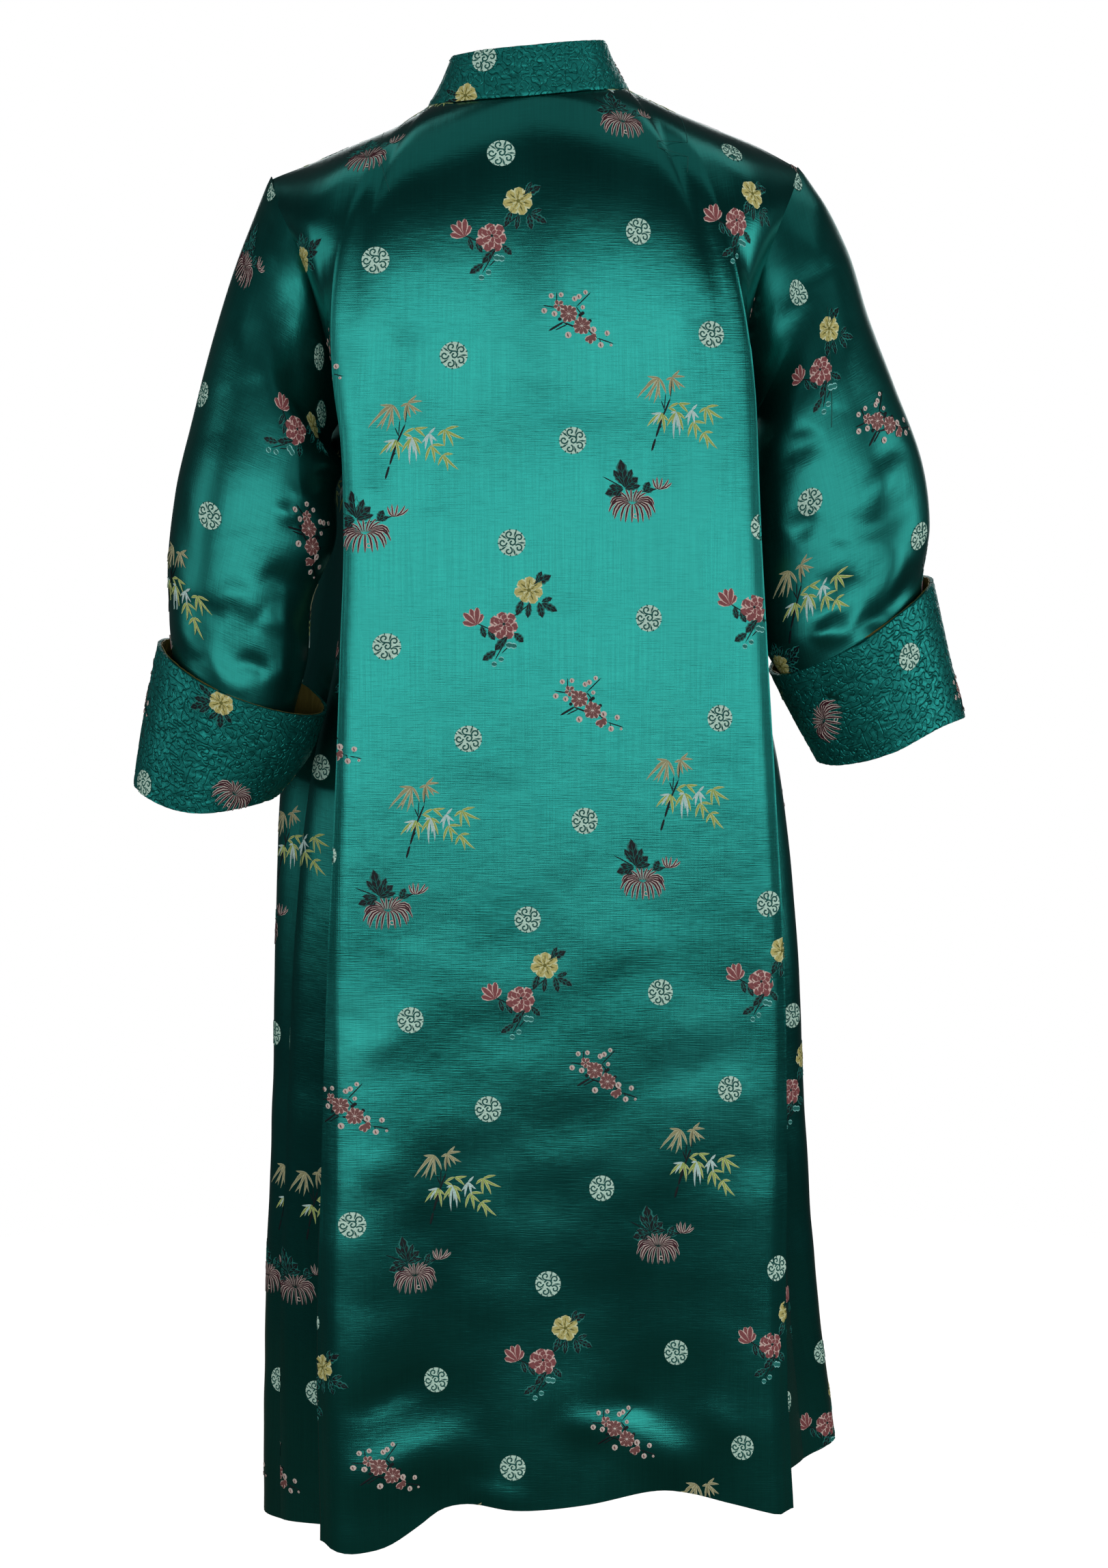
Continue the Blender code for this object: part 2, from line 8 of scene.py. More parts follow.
import bpy
import numpy as np
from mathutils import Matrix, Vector


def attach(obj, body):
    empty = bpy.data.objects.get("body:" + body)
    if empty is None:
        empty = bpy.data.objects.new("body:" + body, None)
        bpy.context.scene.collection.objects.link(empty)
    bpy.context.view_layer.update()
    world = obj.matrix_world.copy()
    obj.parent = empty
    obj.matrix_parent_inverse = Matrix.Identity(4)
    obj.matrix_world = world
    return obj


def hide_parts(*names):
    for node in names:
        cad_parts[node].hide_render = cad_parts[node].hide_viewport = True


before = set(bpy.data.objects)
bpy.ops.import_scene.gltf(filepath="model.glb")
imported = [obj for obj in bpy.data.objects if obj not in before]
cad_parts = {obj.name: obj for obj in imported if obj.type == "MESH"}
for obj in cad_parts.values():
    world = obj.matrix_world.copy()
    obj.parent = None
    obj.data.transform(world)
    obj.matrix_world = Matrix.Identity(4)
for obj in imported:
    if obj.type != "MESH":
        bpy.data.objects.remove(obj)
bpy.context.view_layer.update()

# A millimetre, the angle of a sharp edge, and the steps of a search on the grid
MM = 0.001
SHARP_ANGLE = 60.0
NEWTON_STEPS = 12
NEWTON_REACH = 25

# Walls and gaps of the finished cloth
SILK = 0.0009
QUILT = 0.0020
LINING = 0.0007
LINING_GAP = 0.0005
LINING_SPAN = (-0.012, 0.992)
SEAM_GAP = 0.00004
FRONT_GAP = 0.0016
SLEEVE_GAP = -0.0025
COLLAR_GAP = 0.0021
COLLAR_LAP = 0.018
COLLAR_CORNER = 0.12
COLLAR_FOOT = -0.07
SEAM_SINK = 0.0007
SEAM_REACH = 0.005

# Points down and across each piece's grid. The body has rows above the underarm and rows below it, and its
# columns are spread evenly at v = SPREAD_V, with more of them at the folds.
BODY_ROWS = (45, 141)
BACK_COLUMNS = 107
FRONT_COLUMNS = 60
FOLD_COLUMNS = (-0.10, -0.04, 0.0, 0.04, 0.10)
FOLD_CLEAR = 0.13
SPREAD_STEPS = 400
SPREAD_V = 1.35
SLEEVE_GRID = (109, 101)
SLEEVE_START_ROW = 45
CUFF_GRID = (68, 221)
LINING_GRID = (34, 121)
COLLAR_GRID = (28, 151)

# Quilting of the cuffs and collar
QUILT_PITCH = 0.0056
QUILT_RISE = 0.0006
QUILT_WAVES = 11
QUILT_SPREAD = 0.22
GOLDEN_ANGLE = 2.39996
QUILT_LINE = 0.50
# Width of the dark line along the stitching: partly the thread, partly painted shade in the groove
STITCH_AND_SHADE_LINE = 0.22

# Crinkles of the cuffs' lining: length and height of each wave, and how far they bend
CRINKLES = ((0.0170, 0.00030), (0.0093, 0.00022), (0.0061, 0.00016))
CRINKLE_BEND = 0.004

# Form of the gown, as in its solids but for the left side and the sleeves
UNDERARM = -0.245
FOLD_T = 3.0
FOLD_CRISP = 0.85
FOLD_WIDTH = 0.7
PLAN_POINTS = 18
NECK_BACK_T = 2.2
SIDE_T = 5.0
NECK_FRONT_T = 7.0
FRONT_T = 9.0
#   z       bend_x  bend_y  tuck_x  tuck_y  seam_x  seam_y  side_x  side_y   front_x front_y
LEFT = (
    (-0.180, 0.1600, 0.082, 0.1560, 0.052, 0.1520, 0.006, 0.1500, -0.045, 0.096, -0.100),
    (-0.245, 0.1470, 0.085, 0.1390, 0.052, 0.1500, 0.004, 0.1590, -0.050, 0.102, -0.118),
    (-0.320, 0.1434, 0.088, 0.1280, 0.055, 0.1480, 0.002, 0.1720, -0.055, 0.108, -0.124),
    (-0.420, 0.1468, 0.092, 0.1260, 0.056, 0.1550, 0.004, 0.1860, -0.055, 0.118, -0.126),
    (-0.530, 0.1514, 0.097, 0.1300, 0.055, 0.1780, 0.004, 0.2010, -0.040, 0.130, -0.124),
    (-0.650, 0.1576, 0.102, 0.1360, 0.055, 0.1910, 0.006, 0.2050, -0.032, 0.138, -0.126),
    (-0.800, 0.1632, 0.108, 0.1420, 0.056, 0.1990, 0.008, 0.2080, -0.030, 0.142, -0.132),
    (-0.950, 0.1680, 0.114, 0.1480, 0.058, 0.2060, 0.008, 0.2150, -0.030, 0.148, -0.138),
    (-1.100, 0.1665, 0.120, 0.1510, 0.066, 0.2080, 0.010, 0.2195, -0.030, 0.152, -0.144),
)
RIGHT = (
    (-0.180, 0.1640, 0.082, 0.1590, 0.052, 0.1530, 0.006, 0.1420, -0.045, 0.096, -0.100),
    (-0.245, 0.1670, 0.086, 0.1530, 0.054, 0.1490, 0.004, 0.1460, -0.050, 0.102, -0.118),
    (-0.320, 0.1702, 0.090, 0.1500, 0.056, 0.1490, 0.002, 0.1600, -0.055, 0.108, -0.124),
    (-0.420, 0.1762, 0.094, 0.1530, 0.058, 0.1560, 0.004, 0.1720, -0.055, 0.116, -0.126),
    (-0.530, 0.1832, 0.098, 0.1590, 0.058, 0.1730, 0.004, 0.1940, -0.042, 0.126, -0.126),
    (-0.650, 0.1902, 0.102, 0.1650, 0.058, 0.1860, 0.006, 0.2075, -0.034, 0.136, -0.128),
    (-0.800, 0.1936, 0.108, 0.1690, 0.060, 0.1950, 0.006, 0.2158, -0.032, 0.144, -0.132),
    (-0.950, 0.1942, 0.112, 0.1710, 0.062, 0.2050, 0.002, 0.2275, -0.034, 0.152, -0.138),
    (-1.100, 0.2015, 0.116, 0.1790, 0.066, 0.2200, -0.004, 0.2470, -0.040, 0.160, -0.144),
)
BACK_DIP = 0.001
BEND_IN = (0.022, 0.0085)
BEND_OUT = 0.0045
FRONT_DIP = 0.004
#   z       back_y  front_y
MIDDLE = (
    (-0.180, 0.090, -0.106),
    (-0.245, 0.094, -0.125),
    (-0.320, 0.097, -0.132),
    (-0.420, 0.100, -0.135),
    (-0.530, 0.104, -0.136),
    (-0.650, 0.109, -0.140),
    (-0.800, 0.116, -0.146),
    (-0.950, 0.123, -0.152),
    (-1.100, 0.130, -0.158),
)
#   t     z
HEM = (
    (-9.0, -1.092), (-8.0, -1.090), (-7.0, -1.086), (-6.0, -1.080), (-5.0, -1.090), (-4.0, -1.094),
    (-3.0, -1.085), (-2.2, -1.086), (-1.6, -1.079), (-1.0, -1.071), (-0.4, -1.080), (0.2, -1.083),
    (0.6, -1.080), (0.85, -1.085), (1.1, -1.098), (1.4, -1.110), (1.8, -1.114), (2.4, -1.112),
    (3.0, -1.109), (4.0, -1.122), (5.0, -1.136), (6.0, -1.133), (7.0, -1.112), (8.0, -1.097), (9.0, -1.092),
)
#   t     width  depth   start
FOLDS = (
    (2.0, 0.75, 0.014, -0.62),
    (0.9, 0.55, -0.008, -0.80),
    (0.1, 0.50, 0.006, -0.86),
    (-1.0, 0.55, -0.009, -0.78),
    (-2.1, 0.60, 0.008, -0.70),
    (6.5, 0.50, 0.010, -0.45),
    (7.3, 0.40, -0.010, -0.50),
    (8.1, 0.40, 0.008, -0.40),
    (-6.4, 0.50, 0.012, -0.50),
    (-7.3, 0.45, -0.010, -0.42),
    (-8.2, 0.40, 0.008, -0.55),
)
FOLD_FADE = 0.35
#   part   x      z
SHOULDER_LEFT = (
    (0.00, 0.0783, -0.0063), (0.25, 0.1050, -0.0225), (0.50, 0.1400, -0.0370),
    (0.75, 0.1740, -0.0512), (1.00, 0.2045, -0.0625),
)
SHOULDER_RIGHT = (
    (0.00, 0.0686, 0.0061), (0.25, 0.1010, -0.0090), (0.50, 0.1350, -0.0230),
    (0.75, 0.1700, -0.0370), (1.00, 0.2045, -0.0548),
)
NECK_MIDDLE = np.array((0.005, 0.0))
NECK_BACK_Y = 0.056
NECK_FRONT_Y = -0.066
NECK_FRONT_DROP = 0.052
NECK_POWER = 1.5
SHOULDER_BOW = 0.004
#   t     out     y       z
TOP_PULL = (
    (0.0, 0.000, 0.038, -0.036), (1.1, 0.014, 0.066, -0.028), (2.2, 0.020, 0.094, -0.016),
    (3.5, 0.004, 0.092, -0.014), (5.0, -0.006, 0.050, -0.026),
)
TOP_PULL_FRONT = (
    (5.0, -0.006, -0.045, -0.026), (6.0, 0.000, -0.052, -0.008), (7.0, 0.000, -0.042, -0.016),
    (8.0, 0.000, -0.026, -0.036), (9.0, 0.000, -0.016, -0.050),
)
ARMHOLE_REACH = 0.055
FRONT_REACH_T = 6.6
SLOPE_STEP = 0.02
BACK_REACH = (0.012, 0.072)
BACK_RISE = (0.060, 0.130)
FRONT_RISE = 0.060
#   along   x       y       z        wide    deep    outer_up  back_down
SLEEVE_LEFT = (
    (0.045, 0.1930, 0.004, -0.1910, 0.0800, 0.054, 65.0, 0.0),
    (0.095, 0.1970, 0.016, -0.2290, 0.0725, 0.057, 49.0, 1.0),
    (0.145, 0.2080, 0.028, -0.2710, 0.0620, 0.053, 29.0, 2.0),
    (0.205, 0.2160, 0.036, -0.3240, 0.0640, 0.048, 18.0, 4.0),
    (0.250, 0.2275, 0.037, -0.3680, 0.0575, 0.048, 16.0, 6.0),
    (0.300, 0.2290, 0.037, -0.4120, 0.0555, 0.048, 16.0, 9.0),
    (0.350, 0.2350, 0.0355, -0.4600, 0.0490, 0.048, 14.0, 10.0),
)
SLEEVE_RIGHT = (
    (0.018, 0.1915, 0.003, -0.1590, 0.0870, 0.053, 71.0, 0.0),
    (0.050, 0.2035, 0.006, -0.1810, 0.0765, 0.056, 62.0, 0.0),
    (0.095, 0.2110, 0.019, -0.2160, 0.0670, 0.057, 48.0, 1.0),
    (0.145, 0.2210, 0.030, -0.2520, 0.0640, 0.052, 32.0, 2.0),
    (0.200, 0.2330, 0.0365, -0.3020, 0.0690, 0.048, 22.0, 4.0),
    (0.250, 0.2370, 0.037, -0.3500, 0.0720, 0.048, 22.0, 6.0),
    (0.300, 0.2385, 0.0365, -0.3950, 0.0660, 0.049, 24.0, 9.0),
    (0.345, 0.2530, 0.0350, -0.4380, 0.0530, 0.049, 24.0, 10.0),
)
#   part   x       y       z        wide    deep    outer_up  back_down
CUFF_LEFT = (
    (0.0, 0.2270, 0.034, -0.4440, 0.0690, 0.054, 22.0, 11.0),
    (0.5, 0.2400, 0.030, -0.4900, 0.0650, 0.050, 13.0, 10.0),
    (1.0, 0.2570, 0.026, -0.5340, 0.0560, 0.046, 2.0, 10.0),
)
CUFF_RIGHT = (
    (0.0, 0.2450, 0.033, -0.4030, 0.0715, 0.054, 30.0, 11.0),
    (0.5, 0.2610, 0.029, -0.4480, 0.0650, 0.050, 24.0, 9.0),
    (1.0, 0.2780, 0.025, -0.4910, 0.0595, 0.046, 18.0, 7.0),
)
ARMS = (("left", 1, SLEEVE_LEFT, CUFF_LEFT), ("right", -1, SLEEVE_RIGHT, CUFF_RIGHT))
CUFF_WAVES = ((2, 0.0025), (3, 0.0020))
SLEEVE_INSET = 0.0043
SLEEVE_END = 0.95
SLEEVE_TAIL = 0.052
#   part   height  lean
COLLAR = (
    (0.00, 0.0350, 0.006),
    (0.30, 0.0340, 0.012),
    (0.50, 0.0325, 0.017),
    (0.75, 0.0320, 0.014),
    (0.95, 0.0310, 0.008),
    (1.00, 0.0210, 0.006),
)

# Camera of the photograph, whose frame is 1623 x 2296
CAMERA_AT = (-0.01485, 2.5, -0.1818)
CAMERA_DOWN = 8.0
SENSOR = 36.0
FOCUS_PX = 4670.0
FRAME_HEIGHT = 2296.0

# Floor and surround, which the camera sees as white
FLOOR_Z = -1.32
FLOOR_RADIUS = 1.6
FLOOR_SIDES = 96
FLOOR_COLOUR = (0.20, 0.18, 0.15)
WHITE = (1.0, 1.0, 1.0, 1.0)
SURROUND = (0.92, 0.97, 1.0, 1.0)
SURROUND_POWER = 0.055

# Soft lights: name, place, what it faces, width, height, power
LIGHTS = (
    ("key", (0.0, 4.2, -0.342), (0.0, 0.1, -0.45), 6.6, 1.225, 80.0),
    ("top", (0.0, 1.1, 2.3), (0.0, 0.2, 0.0), 5.0, 2.2, 13.0),
    ("front", (-0.4, -4.2, 0.2), (0.0, -0.1, -0.5), 4.0, 2.0, 60.0),
    ("side_left", (3.6, 1.2, 0.0), (0.2, 0.0, -0.4), 1.8, 1.8, 16.0),
    ("side_right", (-3.6, 1.2, 0.0), (-0.2, 0.0, -0.4), 1.8, 1.8, 30.0),
    ("over_left", (1.7, -0.7, 2.4), (0.1, 0.0, -0.2), 1.2, 1.2, 5.0),
    ("over_right", (-1.7, -0.7, 2.4), (-0.1, 0.0, -0.2), 1.2, 1.2, 5.0),
)

# Noise in the materials, waves a metre: across and down the flat cloth, or along the object's axes
SILK_WARP = (900.0, 14.0, 1.0)
SILK_WEFT = (60.0, 1100.0, 1.0)
SILK_CLOUD = (9.0, 5.0, 1.0)
SILK_RIPPLE = (22.0, 22.0, 1.0)
QUILT_WARP = (800.0, 30.0, 1.0)
QUILT_PUCKER = (420.0, 420.0, 1.0)
QUILT_CURL = (210.0, 210.0, 1.0)
GOLD_WRINKLE = (220.0, 60.0, 1.0)
GOLD_CLOUD = (25.0, 18.0, 1.0)
THREAD_GRAIN = (700.0, 700.0, 2600.0)

# Specular level of every material, and colours, linear
SPECULAR = 0.25
TEAL = (0.0120, 0.156, 0.136)
TEAL_INSIDE = (0.005, 0.060, 0.050)
TEAL_QUILT = (0.0115, 0.228, 0.204)
GOLD = (0.300, 0.250, 0.065)
THREADS = {
    "rose": (0.300, 0.085, 0.090), "blush": (0.860, 0.620, 0.560), "wine": (0.230, 0.090, 0.085),
    "shell": (0.780, 0.660, 0.600), "maroon": (0.060, 0.008, 0.018), "yellow": (0.640, 0.580, 0.200),
    "straw": (0.840, 0.860, 0.500), "silver": (0.680, 0.960, 0.820), "gap": (0.008, 0.120, 0.100),
    "white": (0.860, 0.980, 0.940), "navy": (0.001, 0.006, 0.009), "slate": (0.016, 0.220, 0.190),
    "aqua": (0.350, 0.860, 0.820), "lime": (0.400, 0.540, 0.120), "moss": (0.190, 0.190, 0.040),
    "gold": (0.720, 0.720, 0.480), "sand": (0.400, 0.380, 0.200), "frost": (0.560, 0.820, 0.780),
}

# Creases, in millimetres: both ends, half width, height (a trough is below zero) and bow at the middle, in
# the picture's own x and z. Each shows on the side of the cloth that faces its way: 1 back, -1 front. One
# with 0 shows on the back and has a softer twin in front.
#   x0, z0, x1, z1, width, height, bow, faces
BODY_CREASES = (
    (118.6, -175.9, 117.6, -297.2, 13, -1.5, 0, 1),
    (96.4, -175.9, 96.2, -307.3, 14, 1.5, 0, 1),
    (-99.2, -170.9, -98.8, -297.2, 11, -1.3, 2, 1),
    (-115.4, -170.9, -116.3, -317.5, 17, 1.2, 0, 1),
    (67.1, -196, 72.8, -317.5, 31, -0.8, 0, 1),
    (-9, -216.2, -3.8, -389.2, 48, 0.8, 0, 1),
    (-60, -287, -63, -440.8, 36, -0.7, 0, 1),
    (42.2, -348.2, 32.4, -518.7, 36, 0.8, 4, 1),
    (115, -644.9, 134.4, -714, 21, -0.45, 4, 1),
    (90, -639.6, 95.6, -703.4, 34, 0.35, 0, 1),
    (134.4, -719.9, 99.9, -722.6, 13, 0.35, 2, 1),
    (48.4, -637, -40.1, -660.8, 34, -0.38, 4, 1),
    (-40.1, -671.4, -102.5, -639.6, 31, 0.35, 4, 1),
    (-102.7, -676.7, -165.2, -660.8, 25, -0.35, 0, 1),
    (147.8, -692.7, 116.6, -720.4, 11, -0.38, 2, 1),
    (151, -810.6, 117.5, -838.7, 11, -0.38, 2, 1),
    (150.1, -835, 96.3, -810.6, 15, 0.35, 2, 1),
    (149.9, -919.2, 112.9, -923.6, 11, -0.35, 2, 1),
    (74.9, -735.4, 12.1, -767.6, 31, 0.28, 4, 1),
    (12.2, -789.1, -61.2, -756.8, 34, -0.28, 4, 1),
    (-61.4, -810.6, -134.7, -778.3, 31, 0.28, 4, 1),
    (96.5, -843.1, 33.4, -875.6, 31, -0.35, 0, 1),
    (12.3, -864.8, -51, -897.4, 28, 0.35, 4, 1),
    (-103.7, -864.8, -167.2, -897.4, 25, -0.35, 4, 1),
    (152, -1056, 33, -1036, 24, 4.4, 0, 1),
    (150, -1006, 78, -978, 12, -1.8, 0, 1),
    (-18, -1013, -72, -1024, 12, 2.6, 0, 1),
    (-64, -1022, -128, -1056, 20, 4.2, 0, 1),
    (-56, -990, -90, -1010, 9, -1.4, 0, 1),
    (64, -1068, 0, -1076, 10, 1.4, 0, 1),
    (-130, -1000, -160, -1030, 14, 1.2, 0, 1),
    (-134.4, -735.4, -171.3, -767.6, 14, 0.35, 0, 1),
    (-146.3, -919.2, -178.3, -952.1, 14, -0.38, 0, 1),
    (40, -200, 60, -500, 20, 3, 4, -1),
    (-50, -180, -70, -460, 18, -3, 4, -1),
    (90, -480, 50, -760, 22, 3.2, -5, -1),
    (-30, -560, -60, -820, 24, 3, 4, -1),
    (25, -800, 45, -1030, 18, -3, 4, -1),
    (-90, -780, -120, -1020, 20, 3.4, -4, -1),
    (120, -840, 140, -1050, 16, 3.4, 4, -1),
    (-10, -940, -50, -1030, 14, 4, -4, -1),
    (80, -100, 50, -180, 14, 2.6, 3, -1),
    (-85, -95, -45, -190, 14, 2.6, -3, -1),
)
ARM_CREASES = {
    "left": (
        (193.9, -110.1, 183.1, -148, 12, 4.5, 0, 0),
        (199.2, -84.9, 207.7, -107.6, 9, -4, 0, 1),
        (215.7, -170.8, 207, -216.6, 26, 5, 8, 0),
        (175.7, -170.8, 180.5, -237, 14, -5, 0, 1),
        (248.2, -216.6, 265.8, -288.3, 20, -3, -5, 0),
        (165.5, -277, 146, -285.2, 6, 4.5, 3, 1),
        (184.8, -296.6, 161.6, -302.7, 7, 4, -3, 0),
        (193.7, -307.9, 183.6, -327, 6, 4.5, 2, 1),
        (176.7, -262.6, 156.1, -267.8, 7, -5, 2, 0),
        (170.8, -288.3, 148.6, -293.5, 5, -5, 2, 1),
        (187.7, -319.2, 162, -339.9, 8, -6, 4, 0),
        (161.7, -308.9, 169.9, -355.5, 8, 4, 0, 1),
        (248.8, -257.5, 234.4, -334.7, 24, 5, 5, 0),
        (275.2, -298.6, 263.4, -365.8, 10, -3, 0, 1),
        (240.1, -371, 209.3, -391.8, 11, 4.5, 4, 0),
        (266.2, -381.4, 235.4, -399.6, 8, -4, 3, 1),
        (206.3, -360.6, 175.3, -376.2, 9, -5, 3, 0),
        (209.3, -394.4, 178.3, -404.9, 9, 4, 2, 1),
        (251.1, -412.7, 220.5, -453.5, 8, 4, -5, 1),
        (227.9, -425.7, 199.5, -439.9, 7, -4.2, 3, 1),
        (207.2, -436.2, 183.8, -438.8, 10, 4.6, 0, 1),
        (274.2, -391.8, 251.3, -423.1, 8, 4, -3, 1),
        (183.3, -391.8, 162.8, -423.1, 8, -5, 0, 0),
        (251.1, -423.7, 220.5, -467.5, 7, 4.8, 5, -1),
        (207.2, -447.2, 183.8, -452.8, 9, 5.6, 0, -1),
    ),
    "right": (
        (-224.8, -127.8, -169.2, -198.8, 11, -6.5, -6, 0),
        (-213.8, -148, -172.2, -186, 8, 6, -4, 1),
        (-230.5, -170.8, -227.7, -237, 12, 5, 2, 0),
        (-188.9, -216.6, -197, -257.5, 12, 5, 2, 1),
        (-188.5, -276, -216.1, -257.5, 10, -6, 2, 0),
        (-259.2, -277, -281.1, -262.6, 10, -4.5, 2, 1),
        (-195.3, -332.7, -210.6, -315.1, 9, -6, 0, 0),
        (-179.3, -288.3, -190.1, -334.7, 14, 5, 2, 1),
        (-239.7, -329.6, -293.1, -299.6, 11, -7, -5, 0),
        (-251.6, -288.3, -272.4, -298.6, 14, 5, 2, 1),
        (-242.2, -360.6, -214.1, -399.6, 9, -7, 5, 0),
        (-229.6, -389.2, -211.7, -410.6, 6, 7, 3, 1),
        (-212.7, -411.6, -250.9, -390.8, 7, 6, -5, 0),
        (-295, -355.5, -254.2, -401.2, 9, -7, 3, 1),
        (-278.2, -339.9, -263.3, -386.6, 10, 6, 2, 0),
        (-231.5, -334.7, -224.1, -365.8, 9, 5, 2, 1),
        (-190.8, -404.9, -219.6, -420.5, 12, 4, 0, 0),
        (-237.6, -404.9, -268.6, -394.4, 7, -6, 2, 1),
        (-290.6, -308.9, -306.8, -350.3, 9, 4, 0, 0),
        (-203.1, -100, -221.4, -135.3, 9, 4, 2, 1),
        (-220.7, -84.9, -234, -125.2, 9, -4, 2, 0),
        (-183.2, -155.6, -175.8, -186, 8, 4, 0, 1),
    ),
}
TWIN_DROP = (0.011, 0.014)
TWIN_SHARE = 0.8
CREASE_FACING = (1.6, 0.2)
ARM_CREASE_SHARE = {"left": 0.36, "right": 0.30}
HIP_Z = -0.50
HIP_FADE = 0.30
# Slow waves of the skirt: length across, length down, height
WAVES = (
    (0.310, 0.085, 0.00013),
    (-0.230, 0.061, 0.00010),
    (0.170, 0.118, 0.00016),
    (-0.120, -0.047, 0.00006),
)
# The sharp crease of each cuff: both ends, half width and height
CUFF_CREASE = {
    "left": (0.250, -0.425, 0.262, -0.550, 0.030, 0.0020),
    "right": (-0.243, -0.405, -0.280, -0.500, 0.034, 0.0058),
}

# Repeat of the brocade on the flat cloth: one step across, one step down, and each figure's place in it
STEP_ACROSS = (-0.1933, -0.0176)
STEP_DOWN = (-0.0123, 0.2859)
#   figure           across   down
REPEAT = (
    ("rose", 0.0139, 0.1463),
    ("roundel", -0.0869, 0.1468),
    ("plum", -0.0417, 0.2119),
    ("roundel", 0.0483, 0.2371),
    ("bamboo", 0.0673, 0.2920),
    ("roundel", -0.0389, 0.3013),
    ("chrysanthemum", 0.1016, 0.3573),
    ("roundel", 0.0048, 0.3766),
)
# How the repeat lies on each piece: its place across and down there, as sums of 1, a, b and, where the cloth
# curves both ways, a^2, ab and b^2
LAY = {
    "back": (
        (-0.0011, 1.0299, 0.0172, 0.2989, -0.0612, -0.0277),
        (-0.0009, 0.0103, 1.0127, 0.2716, 0.0244, -0.0214),
    ),
    "front_left": ((-0.1419, 0.9945, -0.1045), (0.0755, 0.1045, 0.9945)),
    "front_right": ((0.0500, 0.9945, 0.1045), (0.1100, -0.1045, 0.9945)),
    "sleeve_left": ((-0.0281, 0.9370, 0.1220), (0.0960, -0.1250, 1.0690)),
    "sleeve_right": ((-0.0357, 0.9450, 0.0690), (0.0739, -0.0010, 1.0200)),
}
# Figures placed one by one on each piece: figure, millimetres across and down, turn in degrees
SINGLES = {
    "back": (("peony", 197, -132, 200),),
    "sleeve_left": (
        ("roundel", 32, 37, 20), ("roundel", 72, -44, 0), ("roundel", -62, -121, 30),
        ("roundel", -74, -80, 0), ("rose", -36, -52, 28), ("plum", -52, 25, 30), ("bamboo", 44, 98, 8),
        ("chrysanthemum", 63, -154, 20), ("roundel", 59, -212, 0),
    ),
    "sleeve_right": (
        ("roundel", -61, -203, 0), ("roundel", -17, -127, 20), ("roundel", 25, 24, 60),
        ("roundel", -67, 90, 0), ("rose", -17, -69, 0), ("plum", -50, -5, -6), ("bamboo", 23, 88, -4),
        ("peony", 64, 138, 190),
    ),
    "cuff_left": (
        ("peony", 10, 7, 0), ("roundel", 56, 101, 10), ("mum", -29, 69, 20), ("plum", 102, 34, 0),
        ("bamboo", 170, 60, 0), ("roundel", 225, 22, 40), ("rose", 262, 85, 0),
    ),
    "cuff_right": (
        ("roundel", -35, 33, 0), ("mum", 47, 34, -60), ("plum", -92, 94, 0), ("bamboo", -155, 50, 0),
        ("roundel", -215, 88, 40), ("rose", -255, 30, 0),
    ),
    "collar_left": (("roundel", 38, 7, 30), ("peony", 53, 35, 0), ("roundel", 150, 20, 0)),
    "collar_right": (("roundel", -205, 30, 0), ("mum", -120, 20, 30)),
}
# Threads: how high a ribbon's edge lies on the cloth, more for each ribbon under it and more on quilting and
# sleeves, how far its middle rises and its root sinks in, and what share of it has to lie on the cloth
THREAD_LIFT = 0.00006
THREAD_LEVEL = 0.00012
QUILT_LIFT = 0.00030
THREAD_RISE = 0.00017
THREAD_ROOT = 0.00015
THREAD_MISS = 0.0008
THREAD_KEPT = 0.12
# How far a figure reaches, where a sleeve's front half starts, and which steps of the repeat are tried
FIGURE_REACH = 0.045
HIDDEN_SIDE = -0.15
REPEAT_STEPS = (np.arange(-7, 8), np.arange(-8, 9))
PICTURE_TO_FLAT = np.array((-MM, MM))


def smooth(table, where):
    """Cubic Hermite pieces through a table whose first column is the place of each row, with the slope of
    its neighbours at each row."""
    table = np.array(table)
    at, values = table[:, 0], table[:, 1:]
    slopes = np.gradient(values, at, axis=0)
    if at[0] > at[-1]:
        at, values, slopes = at[::-1], values[::-1], slopes[::-1]
    where = np.clip(np.asarray(where, float), at[0], at[-1])
    i = np.clip(np.searchsorted(at, where) - 1, 0, len(at) - 2)
    step = at[i + 1] - at[i]
    f = ((where - at[i]) / step)[..., None]
    step = step[..., None]
    return (
        (1 + 2 * f) * (1 - f) ** 2 * values[i]
        + f * (1 - f) ** 2 * step * slopes[i]
        + f**2 * (3 - 2 * f) * values[i + 1]
        + f**2 * (f - 1) * step * slopes[i + 1]
    )


def unit(way):
    """Vectors over their own length."""
    return way / np.maximum(np.linalg.norm(way, axis=-1, keepdims=True), 1e-12)


def ramp(x):
    """0 below 0, 1 above 1, and 3x^2 - 2x^3 between."""
    x = np.clip(x, 0, 1)
    return x * x * (3 - 2 * x)


def half_plan(table, z):
    """Ten plan points of one side at each height, from the centre back to the centre front."""
    bx, by, tx, ty, sx, sy, wx, wy, fx, fy = np.moveaxis(smooth(table, z), -1, 0)
    back, front = np.moveaxis(smooth(MIDDLE, z), -1, 0)
    zero = np.zeros_like(bx)
    points = (
        (zero, back),
        (bx / 2, back - BACK_DIP),
        (bx - BEND_IN[0], by + BEND_IN[1]),
        (bx, by + BEND_OUT),
        (tx, ty),
        (sx, sy),
        (wx, wy),
        (fx, fy),
        (fx / 2, front + FRONT_DIP),
        (zero, front),
    )
    return np.stack([np.stack(p, -1) for p in points], -2)


